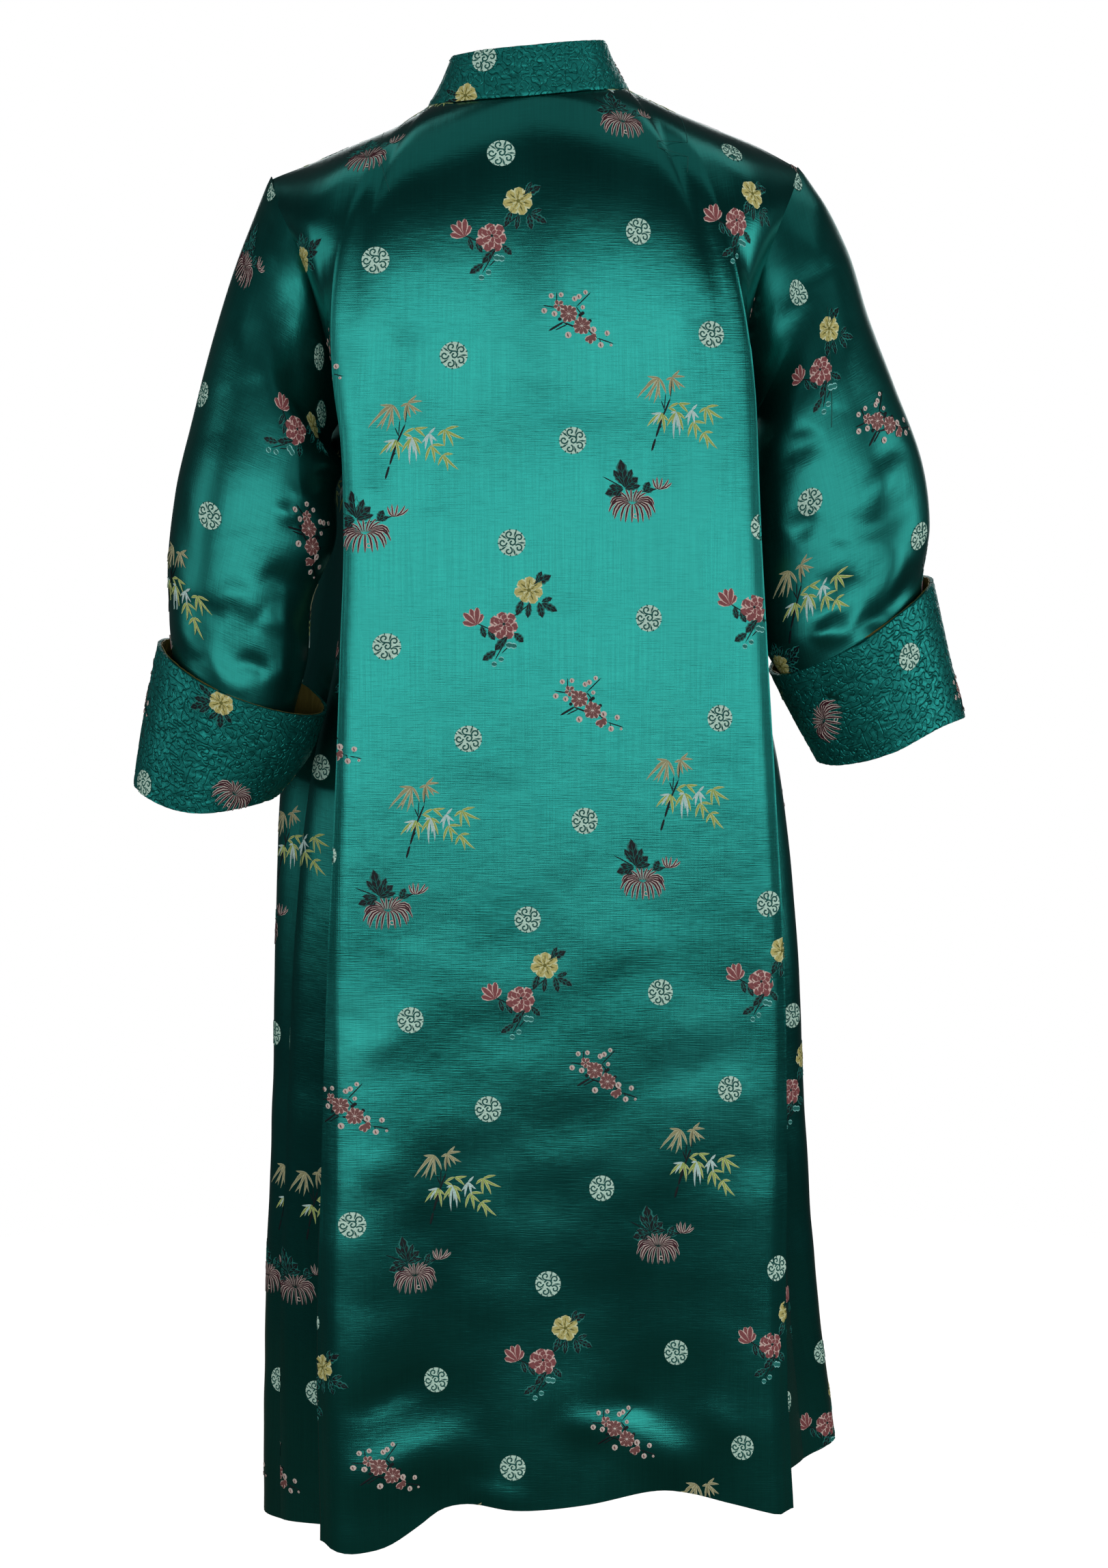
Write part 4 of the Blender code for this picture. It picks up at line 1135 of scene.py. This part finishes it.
def yellow_flower(at, *rings):
    """Rings of yellow petals and their dark middle: count, radius, petal's width and start of each ring."""
    made = []
    for (*ring_size, start), level, full in zip(rings, (0, 2), (0.66, 0.6)):
        made += flower(at, *ring_size, "yellow", "straw", start, level, full, "moss")
    return made + [disc(at, 1.4, "moss", "moss", 4)]


def fan(at, tips, width, fill, line, level=0):
    """Narrow leaves from one knot to each tip, bowed a little by turns."""
    return [
        leaf(at, tip, width, fill, line, bend=0.05 * (-1) ** k, full=0.42, tip=0.9, level=level + k % 2)
        for k, tip in enumerate(tips)
    ]


def rose():
    """A rose and its bud, a yellow bloom above them, dark leaves and small pale buds."""
    made = blades(
        ((13, -24), (26, -31), 7.0), ((15, -26), (19, -34), 4.5), ((5, -13), (1, -1), 6.0),
        ((10, -11), (9, 1), 5.0), ((17, -11), (20, 1), 6.0), ((19, -10), (31, -4), 6.0),
        ((19, -11), (27, -14), 4.5), ((-25, 6), (-22, 15), 5.0), ((-20, 9), (-15, 17), 5.0),
        ((-6, 14), (-15, 25), 6.5), ((-1, 12), (6, 19), 6.0), ((-14, 25), (-24, 32), 6.0),
    )
    made += twigs(
        ((-28, 4), (-18, 9), 0.9), ((11, -10), (-2, 0), 0.9), ((-5, 14), (-15, 32), 0.9),
        ((-10, 27), (-5, 22), 0.8),
    )
    made += yellow_flower((9.7, -20), (7, 10.6, 8.6, 15), (5, 6.0, 5.0, 45))
    made += flower((-9, 6.4), 7, 11.0, 9.0, "rose", "blush", 5, 0, 0.68)
    made += flower((-8.6, 5.6), 6, 8.0, 6.6, "rose", "blush", 32, 1, 0.66)
    made += flower((-8.4, 5.0), 5, 4.8, 4.0, "rose", "blush", 10, 2)
    made.append(disc((-8.5, 5.0), 1.1, "navy", "slate", 3))
    bud = (-38.5, 3), (-38, -4), (-33, -7), (-28, -8), (-24, -3)
    made += [petal((-28, 5), tip, 5.2, "rose", "blush", k % 2) for k, tip in enumerate(bud)]
    pale = ((-4.5, 21), 2.6), ((-1.2, 21.6), 2.4), ((-10.4, 31.4), 2.1), ((-15.4, 35.0), 2.1)
    return made + [disc(at, radius, "slate", "aqua", 1) for at, radius in pale]


def plum():
    """A branch with two open blossoms, two half open and round pale buds."""
    made = twigs(
        ((-22, 9), (-11, 2.5), 1.7), ((-12, 2.5), (2, 8), 1.3), ((-17, 8.5), (-8, 4), 1.0),
        ((-26.5, -9.6), (-17, -8), 0.9), ((-16.5, -19), (-16.5, -11), 0.8), ((9, -19.5), (-2, -8.5), 0.9),
        ((-2, -8.5), (3, -2), 0.9), ((7, 8), (14, 14), 1.1), ((14, 14), (27, 18), 0.9),
        ((21, 13), (22.5, 9.5), 0.7), ((16, 14), (17, 18), 0.7),
    )
    made += [disc(at, 1.4, "navy", "navy") for at in ((1, -2.5), (8.5, 1.5), (-14, 0.5), (3, -4))]
    for at, start in (((-7.5, -3.5), 0), ((2.5, 5.2), 15)):
        made += flower(at, 9, 6.7, 4.4, "wine", "blush", start, 1, 0.66)
        made.append(disc(at, 1.2, "shell", "wine", 2))
    half_open = (5.5, 16.5), (9, 18.5), (13, 16), (13.5, 12.5)
    made += [petal((9.5, 12), tip, 4.4, "wine", "blush", 1) for tip in half_open]
    made += flower((-14.8, -9.5), 5, 4.2, 3.6, "wine", "blush", 20, 1)
    buds = (
        (-20.5, -16.5, 2.0), (-13.3, -17.3, 1.9), (-25.4, -5.7, 2.2), (-17.9, -3.5, 2.2), (-3.2, -14.5, 2.1),
        (0.0, -16.0, 2.1), (4.8, -19.2, 1.8), (3.0, -8.3, 1.7), (11.2, 8.0, 2.5), (21.7, 10.3, 2.1),
        (17.0, 19.0, 2.3), (-7.5, 12.0, 2.5), (24.8, 19.0, 1.1),
    )
    for u, w, r in buds:
        made.append(disc((u, w), r, "shell", "shell", 1))
        made.append(twig((u - r * 0.3, w - r * 0.6), (u + r * 0.1, w + r * 0.7), r * 0.5, 3, "wine", BRIEF))
    return made


def bamboo():
    """A jointed stem and fans of narrow leaves: knot, width, threads, level and tips of each fan."""
    made = twigs(
        ((-27.4, 33.7), (-24.6, 24), 1.8), ((-24.4, 23.5), (-20, 9), 1.8), ((-20, 9), (-13.6, -6.3), 1.4),
        ((-18, 3), (-20.8, -4), 0.9), ((-18.3, 2), (-17.5, -9), 0.8), ((-22.5, 17), (-20, 14.5), 0.8),
        ((-13.6, -6.3), (-12.5, -20), 0.8),
    )
    dry, green, pale = ("sand", "gold"), ("lime", "straw"), ("frost", "white")
    fans = (
        ((-22.7, -20.8), 2.2, dry, 0, (
            (-39.5, -4.8), (-34, -4.4), (-30.3, -3.3), (-26.6, -1.5), (-21.5, -4.8), (-17, -8.8),
            (-32.5, -14.5), (-31.5, -21.5),
        )),
        ((-12.5, -21.5), 2.112, dry, 0, (
            (-14, -8), (-6.3, -12.4), (-2, -14.3), (-2.2, -22.3), (-6.5, -27.2), (-17.2, -19.5),
            (-10, -10.5),
        )),
        ((-20.5, 5), 2.288, green, 0, ((-31.4, 15.6), (-18, 20.3), (-14.6, 11), (-24, 14))),
        ((-20.5, 5), 1.76, pale, 1, ((-27, 14.2), (-28.6, 6))),
        ((-9, 4), 2.288, green, 0, ((-16.2, 15), (-3.4, 17.6), (-15.5, 1), (-2, 9), (-12, 13))),
        ((-9, 4), 1.76, pale, 1, ((-10.4, 24), (-8.3, 16), (-13.5, 5), (-6, 22))),
        ((-7.4, -2.6), 2.2, green, 1, ((2, -3), (0.2, 4.3), (-14.7, 1))),
        ((2.8, 1.7), 1.848, pale, 1, ((7, -2.6), (-2.4, 8.3), (0.2, 13.4), (5, 12), (8.6, 7.5))),
        ((4.2, 10.5), 2.2, green, 0, ((0.5, 22), (6.8, 23.6), (11.5, 18), (14, 11.2))),
        ((14, -0.5), 2.2, green, 0, ((27.9, 6.8), (19.9, 12.3), (14, 12), (23.9, -2.6), (8.6, 3.9))),
        ((13, 17.7), 2.112, green, 0, ((9.3, 25.7), (16.2, 30), (23.9, 29.4), (19.9, 17.7), (15, 24))),
    )
    for knot, width, pair, level, tips in fans:
        made += fan(knot, tips, width, *pair, level)
    return made


def mum():
    """The chrysanthemum's head: petals that rise from its middle and droop like a fountain, each with a dark
    line down it."""
    made = []
    for k, turn in enumerate(np.radians(np.linspace(-112, 112, 15))):
        side, low = np.sin(turn), np.cos(turn)
        start = (-7 + 3.0 * side, 6.0 + 2.0 * low)
        over = (-7 + 15.0 * side, 1.0 + 7.0 * low)
        end = (-7 + 18.0 * side * (0.95 + 0.05 * (-1) ** k), 10.5 + 11.5 * low + 2.0 * abs(side))
        made += lined_arc((start, over, end), 2.3, 1.25, k % 2, 3)
    for across in (-9.0, -5.5, -2.0, 2.0, 5.5, 8.0):
        end = (-7 + across * 1.2 + 1.2, -0.5 - 2.5 * (6 > across > -8))
        path = (-7 + across * 0.3, 7), (-7 + across * 0.55, 1), end
        made += lined_arc(path, 1.9, 1.0, 2, 4, SHORT)
    return made + [scroll((-4.5, 16.5), 40, 300, 2.0, 1.0, 0.7, "shell", 4)]


def chrysanthemum():
    """The head on its stem, with dark leaves and a bud."""
    made = blades(
        ((-13, -4), (-17, -25), 9.0), ((-14, -6), (-22, -17), 5.5), ((-12, -6), (-8, -18), 5.5),
        ((-13, -4), (-3, -12), 7.5), ((-13, -3), (-1, -6), 5.0), ((-14, -3), (-28, 1), 8.0),
        ((-14, -3), (-25, -5), 5.5), ((-16, -1), (-20, 6), 5.5), ((2, -1), (5.5, -9), 6.0),
        ((3, -1), (9, -4), 4.0),
    )
    made += twigs(((-30, -12), (-14, -4), 0.9), ((2, -1), (13, -4.5), 1.1), ((-8, 0), (3, -2), 0.9))
    for tip in ((8.5, -11.5), (11.5, -13), (15.5, -12.5), (20.5, -11.5), (23, -9)):
        path = (13, -3.5), (12 + (tip[0] - 12) * 0.75, -4.5), tip
        made += lined_arc(path, 2.0, 0.9, 1, 3, SHORT)
    return made + mum()


def roundel():
    """A scalloped disc, cut up by dark spirals and bars."""
    made = [disc((0, 0), 10.0, "silver", "silver", 0, ROUND), scroll((0.3, -0.2), 200, 430, 3.5, 0.9, 1.2)]
    for turn in 72 * np.arange(5):
        made.append(scroll(6.5 * way_at(38 + turn), 220 + turn, 360, 3.1, 0.9, 1.15))
        cut = way_at(74 + turn)
        made.append(twig(cut * 4.4, cut * 10.3, 1.4, 2, "gap", BRIEF))
    for cut in way_at(12 + 360 / 13 * np.arange(13)):
        made.append(twig(cut * 8.8, cut * 10.6, 1.1, 2, "gap", BRIEF))
    return made


def peony():
    """The single yellow bloom of the cuffs and collar, with its dark leaves."""
    made = blades(
        ((-7, -1), (-20, -6), 6.0), ((-7, 2), (-21, 6), 6.5), ((-10, 4), (-22, 15), 7.0),
        ((-8, 6), (-14, 14), 5.5), ((1, 8), (4, 19), 7.0), ((-1, 8), (-6, 16), 5.0), ((4, 7), (11, 12), 5.0),
    )
    return made + yellow_flower((0, 0), (8, 9.8, 7.6, 10), (6, 6.2, 5.0, 30))


FIGURES = {
    "rose": rose, "plum": plum, "bamboo": bamboo, "chrysanthemum": chrysanthemum, "mum": mum,
    "roundel": roundel, "peony": peony,
}


def laid(name, flat):
    """Where places of the repeat lie on a piece: 1, a, b, a^2, ab and b^2, times the piece's rows of LAY."""
    a, b = flat[..., 0], flat[..., 1]
    lie = np.array(LAY[name])
    return np.stack([np.ones_like(a), a, b, a * a, a * b, b * b], -1)[..., : lie.shape[1]] @ lie.T


def on_hidden_side(cloth, flat):
    """Whether flat places lie on a sleeve's front half, where its figures follow the repeat; on other pieces
    the repeat goes everywhere."""
    if not cloth.name.startswith("sleeve"):
        return True
    i, j, _ = find_flat(cloth, flat)
    return value_at(cloth.n, i, j)[..., 1] < HIDDEN_SIDE


def repeated(cloth):
    """The figures of the repeat at every step of it that reaches this piece of cloth."""
    i, j = np.meshgrid(*REPEAT_STEPS)
    steps = (i[..., None] * np.array(STEP_ACROSS) + j[..., None] * np.array(STEP_DOWN)).reshape(-1, 2)
    low, high = cloth.flat.min((0, 1)) - FIGURE_REACH, cloth.flat.max((0, 1)) + FIGURE_REACH
    made = []
    for name, across, down in REPEAT:
        places = steps + np.array((across, down))
        there = laid(cloth.name, places)
        places = places[((there > low) & (there < high)).all(-1) & on_hidden_side(cloth, there)]
        for spine, half, *rest in FIGURES[name]():
            made.append((laid(cloth.name, places[:, None] + spine * PICTURE_TO_FLAT), half * MM, *rest))
    return made


def single(cloth):
    """The figures placed one by one on this piece of cloth."""
    made = []
    for figure, across, down, turn in SINGLES.get(cloth.name, ()):
        turned = np.array((way_at(turn), way_at(turn + 90)))
        for spine, half, *rest in FIGURES[figure]():
            flat = np.array((across, down)) * MM + spine @ turned * PICTURE_TO_FLAT
            made.append((flat[None], half * MM, *rest))
    return made


def brocade(cloth):
    """All figures that lie on one piece of cloth, as ribbons in flat places."""
    return (repeated(cloth) if cloth.name in LAY else []) + single(cloth)


def weave(name, cloth, shapes, material):
    """Puts ribbons on the cloth: four points at each place of the spine (edge, top, edge, root), joined as a
    thin closed tube. Points past the cloth's edge stay on it, and a ribbon beyond it is left out."""
    outer, parts, faces, fills, lines, total = cloth.outer(), [], [], [], [], 0
    for count in sorted({len(half) for _, half, *_ in shapes}):
        group = [shape for shape in shapes if len(shape[1]) == count and len(shape[0])]
        if not group:
            continue
        spine = np.concatenate([shape[0] for shape in group])
        repeats = [len(shape[0]) for shape in group]
        columns = zip(*((half, THREADS[fill], THREADS[line], level) for _, half, fill, line, level in group))
        half, fill, line, level = (np.repeat(np.array(c, float), repeats, axis=0) for c in columns)
        lift = THREAD_LIFT + THREAD_LEVEL * level
        lift += QUILT_LIFT * (cloth.wall == QUILT or cloth.name.startswith("sleeve"))
        along = np.gradient(spine, axis=1)
        aside = unit(np.stack([-along[..., 1], along[..., 0]], -1)) * half[..., None]
        flat = np.stack([spine + aside, spine, spine - aside, spine], 1)
        i, j, miss = find_flat(cloth, flat)
        kept = (miss < THREAD_MISS).mean((1, 2)) > THREAD_KEPT
        i, j, lift, fill, line = i[kept], j[kept], lift[kept], fill[kept], line[kept]
        high = np.stack([lift, lift + THREAD_RISE, lift, np.full(lift.shape, -THREAD_ROOT)], 1)
        points = value_at(outer, i, j) + value_at(cloth.n, i, j) * high[..., None, None]
        parts.append(points.reshape(-1, 3))
        index = np.arange(4 * count).reshape(4, count)
        around = np.concatenate([index, index[:1]])
        one = np.concatenate([cells(around.T), index[:, 0][None], index[::-1, -1][None]])
        faces.append((one + total + 4 * count * np.arange(len(points))[:, None, None]).reshape(-1, 4))
        inside = np.tile(np.repeat((0.0, 1.0, 0.0, 1.0), count), len(points))[:, None]
        for target, colour in ((fills, fill), (lines, line)):
            target.append(np.concatenate([np.repeat(colour, 4 * count, axis=0), inside], 1))
        total += 4 * count * len(points)
    points, quads = np.concatenate(parts), np.concatenate(faces)
    values = [("fill", "FLOAT_COLOR", np.concatenate(fills)), ("line", "FLOAT_COLOR", np.concatenate(lines))]
    return add_mesh(name, points, turned_out(points, quads), [material], values=values)


def flat_at(cloth, x, z):
    """Flat place of the point of the cloth that faces back and lies nearest to the picture's x and z."""
    away = np.hypot(cloth.points[..., 0] - x, cloth.points[..., 2] - z) + (cloth.n[..., 1] < 0.05)
    i, j = np.unravel_index(away.argmin(), away.shape)
    return cloth.flat[i, j]


# Darts and the piecing seam, each drawn as a dark line of painted shade in its groove: the piece, and both
# ends in the picture's x and z
DARTS = (
    ("back", 0.116, -0.028, 0.109, -0.077),
    ("back", -0.111, -0.018, -0.112, -0.062),
    ("sleeve_right", -0.2211, -0.1607, -0.2222, -0.2497),
)
# Half width of each painted shade line
DART_SHADE_HALF = 0.00032
DART_POINTS = 15
STITCH = 0.0021
STITCH_STEP = 0.0033
STITCH_HALF = (0.00012, 0.00024, 0.00026, 0.00024, 0.00012)
STITCH_ENDS = (0.002, 0.004)
# Rows of stitches: how far down each runs, and how much of the collar's length it takes
STITCH_ROWS = {"collar_left": ((0.0027, 1.0),), "collar_right": ((0.0027, 1.0), (0.0315, 0.5))}


def stitched(cloth):
    """The rows of stitches along one half of the collar."""
    end, made = cloth.flat[0, -1, 0], []
    for down, share in STITCH_ROWS[cloth.name]:
        at = np.sign(end) * np.arange(STITCH_ENDS[0], (abs(end) - STITCH_ENDS[1]) * share, STITCH_STEP)
        flat = np.stack([at, np.full(at.shape, down)], -1)[:, None]
        along = np.linspace(-0.5, 0.5, len(STITCH_HALF))[:, None] * (STITCH, 0.0)
        made.append((flat + along, np.array(STITCH_HALF), "slate", "slate", 1))
    return made


def seam_shade_lines(cloth):
    """The painted shade of each dart and piecing seam of one piece: a dark line in its groove, between two
    places of the picture.
    """
    made = []
    for name, x0, z0, x1, z1 in DARTS:
        if name == cloth.name:
            start, end = flat_at(cloth, x0, z0), flat_at(cloth, x1, z1)
            spine = start + (end - start) * np.linspace(0, 1, DART_POINTS)[:, None]
            made.append((spine[None], np.full(DART_POINTS, DART_SHADE_HALF), "gap", "navy", 0))
    return made


def graph(name, colour, roughness, metallic):
    """A material with its Principled shader's fixed values set."""
    made = bpy.data.materials.new(name)
    made.use_nodes = True
    shader = made.node_tree.nodes["Principled BSDF"]
    fixed = ("Base Color", (*colour, 1.0)), ("Roughness", roughness), ("Metallic", metallic)
    for key, value in (*fixed, ("Specular IOR Level", SPECULAR)):
        shader.inputs[key].default_value = value
    made.diffuse_color = (*colour, 1.0)
    return made, made.node_tree, shader


def add(tree, kind, values=(), links=(), **settings):
    """One node: its settings, its sockets' values, and what is linked into them."""
    node = tree.nodes.new(kind)
    for key, value in settings.items():
        setattr(node, key, value)
    for key, value in values:
        node.inputs[key].default_value = value
    for key, socket in links:
        tree.links.new(socket, node.inputs[key])
    return node


def flat_place(tree):
    """The place on the flat cloth."""
    return add(tree, "ShaderNodeUVMap", uv_map="cloth").outputs["UV"]


def value_of(tree, attribute, output="Fac"):
    """One of the mesh's own values."""
    return add(tree, "ShaderNodeAttribute", attribute_name=attribute).outputs[output]


def noise(tree, place, scale, detail=2.0, rough=0.5):
    """Noise with its own scale along each axis of the place, per metre."""
    mapping = add(tree, "ShaderNodeMapping", [("Scale", scale)], [("Vector", place)])
    values = [("Scale", 1.0), ("Detail", detail), ("Roughness", rough)]
    return add(tree, "ShaderNodeTexNoise", values, [("Vector", mapping.outputs["Vector"])]).outputs["Fac"]


def spanned(tree, fac, low, high, from_low=0.3, from_high=0.7):
    """The factor, taken from one range to another."""
    values = [("From Min", from_low), ("From Max", from_high), ("To Min", low), ("To Max", high)]
    return add(tree, "ShaderNodeMapRange", values, [("Value", fac)]).outputs["Result"]


def reckoned(tree, operation, *terms):
    """A sum, product or the like of sockets and numbers."""
    values = [(k, term) for k, term in enumerate(terms) if isinstance(term, float)]
    links = [(k, term) for k, term in enumerate(terms) if not isinstance(term, float)]
    return add(tree, "ShaderNodeMath", values, links, operation=operation).outputs[0]


def tinted(tree, shader, colour, fac):
    """Base colour: a fixed colour or a socket's, times a factor that varies over the cloth."""
    mix = add(tree, "ShaderNodeVectorMath", links=[("Scale", fac)], operation="SCALE")
    if isinstance(colour, tuple):
        mix.inputs[0].default_value = colour
    else:
        tree.links.new(colour, mix.inputs[0])
    tree.links.new(mix.outputs["Vector"], shader.inputs["Base Color"])


def bumped(tree, shader, *layers):
    """Bumps, each over the one before it: height, distance and strength."""
    under = []
    for height, distance, strength in layers:
        values = [("Distance", distance), ("Strength", strength)]
        bump = add(tree, "ShaderNodeBump", values, [("Height", height), *under])
        under = [("Normal", bump.outputs["Normal"])]
    tree.links.new(bump.outputs["Normal"], shader.inputs["Normal"])


def silk(name, colour, roughness=0.25, metallic=0.94, ripple=0.0005):
    """Satin: warp streaks down the cloth, slow clouds in tone and gloss, and the fine ribs of the weft."""
    made, tree, shader = graph(name, colour, roughness, metallic)
    place = flat_place(tree)
    warp = noise(tree, place, SILK_WARP, 3.0)
    weft = noise(tree, place, SILK_WEFT)
    cloud = noise(tree, place, SILK_CLOUD)
    tone = reckoned(tree, "MULTIPLY", spanned(tree, warp, 0.92, 1.08), spanned(tree, cloud, 0.90, 1.10))
    tone = reckoned(tree, "MULTIPLY", tone, spanned(tree, weft, 0.95, 1.05))
    tinted(tree, shader, colour, tone)
    gloss = spanned(tree, cloud, roughness - 0.04, roughness + 0.05)
    tree.links.new(gloss, shader.inputs["Roughness"])
    wave = noise(tree, place, SILK_RIPPLE, 3.0)
    ribs = reckoned(tree, "ADD", warp, weft)
    bumped(tree, shader, (wave, ripple, 1.0), (ribs, 0.00012, 0.5))
    shader.inputs["Anisotropic"].default_value = 0.5
    tangent = add(tree, "ShaderNodeTangent", direction_type="UV_MAP", uv_map="cloth")
    tree.links.new(tangent.outputs["Tangent"], shader.inputs["Tangent"])
    return made


def quilted_silk(name, colour):
    """The same silk drawn down along the stitching. Its colour carries painted shade: darker in the dips
    between the raised cells, and along the stitching, where the thread also shows darker.
    """
    made, tree, shader = graph(name, colour, 0.40, 0.8)
    place = flat_place(tree)
    warp = noise(tree, place, QUILT_WARP, 3.0)
    pucker = noise(tree, place, QUILT_PUCKER, 3.0, 0.6)
    curl = noise(tree, place, QUILT_CURL, 0.0)
    curl = reckoned(tree, "ABSOLUTE", reckoned(tree, "SUBTRACT", curl, 0.5))
    puff = spanned(tree, curl, 0.0, 1.0, 0.0, 0.07)
    # Painted shade: the base colour darkens to 0.62 in the dips between the puffs
    puff_dip_shade = spanned(tree, puff, 0.62, 1.08, 0.0, 0.6)
    # Thread and painted shade: the base colour darkens to 0.62 along the stitching line
    sewn = spanned(tree, value_of(tree, "stitch"), 1.05, 0.62, 0.0, 1.0)
    tone = reckoned(tree, "MULTIPLY", puff_dip_shade, sewn)
    tinted(tree, shader, colour, reckoned(tree, "MULTIPLY", tone, spanned(tree, warp, 0.88, 1.12)))
    tree.links.new(spanned(tree, pucker, 0.34, 0.52), shader.inputs["Roughness"])
    bumped(tree, shader, (pucker, 0.0005, 0.6), (puff, 0.0007, 0.8))
    return made


def gold_lining(name):
    """Crumpled gold silk: fine wrinkles in the bump, and a dull bloom in the tone."""
    made, tree, shader = graph(name, GOLD, 0.42, 0.45)
    place = flat_place(tree)
    wrinkle = noise(tree, place, GOLD_WRINKLE, 4.0, 0.6)
    cloud = noise(tree, place, GOLD_CLOUD)
    tinted(tree, shader, GOLD, spanned(tree, cloud, 0.75, 1.2))
    bumped(tree, shader, (wrinkle, 0.0012, 0.8))
    return made


def threads(name):
    """Brocade threads: each ribbon's own colour, its outline's colour near its edge, and float stitches."""
    made, tree, shader = graph(name, THREADS["silver"], 0.5, 0.0)
    inside = spanned(tree, value_of(tree, "fill", "Alpha"), 0.0, 1.0, 0.26, 0.40)
    links = [("Factor", inside), (6, value_of(tree, "line", "Color")), (7, value_of(tree, "fill", "Color"))]
    mix = add(tree, "ShaderNodeMix", (), links, data_type="RGBA")
    grain = noise(tree, add(tree, "ShaderNodeTexCoord").outputs["Object"], THREAD_GRAIN)
    tinted(tree, shader, mix.outputs[2], spanned(tree, grain, 0.78, 1.2))
    bumped(tree, shader, (grain, 0.0002, 0.6))
    return made


def declare(piece, cloth, slot, with_pieces):
    """Rides the piece and what is sewn on it on the body, and hides the solid of the same name."""
    for part in (piece, *with_pieces):
        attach(part, "root")
    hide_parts(cloth.name)


def placed(name, data, at, way):
    """Puts a lamp or the camera in the scene, looking one way with its top up."""
    made = bpy.data.objects.new(name, data)
    made.location = at
    made.rotation_mode = "QUATERNION"
    made.rotation_quaternion = Vector(way).to_track_quat("-Z", "Y")
    bpy.context.scene.collection.objects.link(made)
    return made


def light(name, at, towards, wide, high, power):
    """A soft rectangular light."""
    data = bpy.data.lights.new(name, "AREA")
    data.shape, data.size, data.size_y, data.energy = "RECTANGLE", wide, high, power
    placed(name, data, at, Vector(towards) - Vector(at))


def floor():
    """A pale disc that the camera sees as white, in rings of quads."""
    ways = np.linspace(0, 360, FLOOR_SIDES, endpoint=False)
    spot = FLOOR_RADIUS * np.array((0.0001, 0.3, 0.7, 1.0))[:, None, None] * way_at(ways)
    points = np.concatenate([spot, np.full(spot.shape[:2] + (1,), FLOOR_Z)], -1)
    grid = np.arange(len(spot) * FLOOR_SIDES).reshape(-1, FLOOR_SIDES)
    quads = cells(np.concatenate([grid, grid[:, :1]], 1))
    paint, tree, shader = graph("pale_floor", FLOOR_COLOUR, 0.9, 0.0)
    shader.inputs["Emission Color"].default_value = WHITE
    seen = add(tree, "ShaderNodeLightPath").outputs["Is Camera Ray"]
    tree.links.new(seen, shader.inputs["Emission Strength"])
    return add_mesh("floor", points.reshape(-1, 3), quads, [paint])


def surround():
    """White where the camera sees it, and a dim bluish light on the gown."""
    world = bpy.data.worlds.new("surround")
    bpy.context.scene.world = world
    world.use_nodes = True
    tree = world.node_tree
    dim = tree.nodes["Background"]
    dim.inputs["Color"].default_value = SURROUND
    dim.inputs["Strength"].default_value = SURROUND_POWER
    seen = add(tree, "ShaderNodeBackground", [("Color", WHITE), ("Strength", 1.0)])
    ray = add(tree, "ShaderNodeLightPath").outputs["Is Camera Ray"]
    mix = add(tree, "ShaderNodeMixShader", links=[(0, ray), (1, dim.outputs[0]), (2, seen.outputs[0])])
    tree.links.new(mix.outputs[0], tree.nodes["World Output"].inputs["Surface"])


def studio():
    """Pale floor, plain pale surround, and large soft lights behind, above and in front of the gown."""
    floor()
    for row in LIGHTS:
        light(*row)
    bpy.context.scene.view_settings.view_transform = "Standard"
    surround()


def photograph():
    """The photograph's camera."""
    data = bpy.data.cameras.new("camera")
    data.sensor_width, data.lens = SENSOR, FOCUS_PX / FRAME_HEIGHT * SENSOR
    data.clip_start, data.clip_end = 0.05, 100.0
    down = np.radians(CAMERA_DOWN)
    bpy.context.scene.camera = placed("camera", data, CAMERA_AT, (0.0, -np.cos(down), -np.sin(down)))


def main():
    """The studio, then each piece of cloth with its figures, the painted shade lines of its dart and seam
    grooves, and the stitches on it.
    """
    photograph()
    studio()
    plain, creased = silk("silk_brocade", TEAL), silk("silk_creased", TEAL, 0.32, ripple=0.0008)
    inside = silk("silk_inside", TEAL_INSIDE, 0.5, 0.5)
    quilted, gold = quilted_silk("quilted_silk", TEAL_QUILT), gold_lining("gold_lining")
    thread = threads("threads")

    def finished(cloth, slot, looks, **sewn):
        """One piece with what is sewn on it, each named by what it is."""
        made = shell(cloth, *looks)
        extra = [weave(f"{cloth.name}_{what}", cloth, ribbons, thread) for what, ribbons in sewn.items()]
        declare(made, cloth, slot, extra)

    for cloth in drape_body():
        # The back's dart lines are dark lines of painted shade in their grooves
        darts = {"darts": seam_shade_lines(cloth)} if cloth.name == "back" else {}
        finished(cloth, "silk_brocade", (plain, inside), brocade=brocade(cloth), **darts)
    for row in ARMS:
        arm, outer, lining = drape_arm(*row)
        # The right sleeve's piecing seam gets a dark line of painted shade with its brocade
        finished(arm, "silk_brocade", (creased, inside), brocade=brocade(arm) + seam_shade_lines(arm))
        finished(outer, "quilted_silk", (quilted, quilted), brocade=brocade(outer))
        finished(lining, "gold_lining", (gold, gold))
    for half in drape_collar():
        sewn = {"brocade": brocade(half), "stitches": stitched(half)}
        finished(half, "quilted_silk", (quilted, quilted, gold), **sewn)


main()
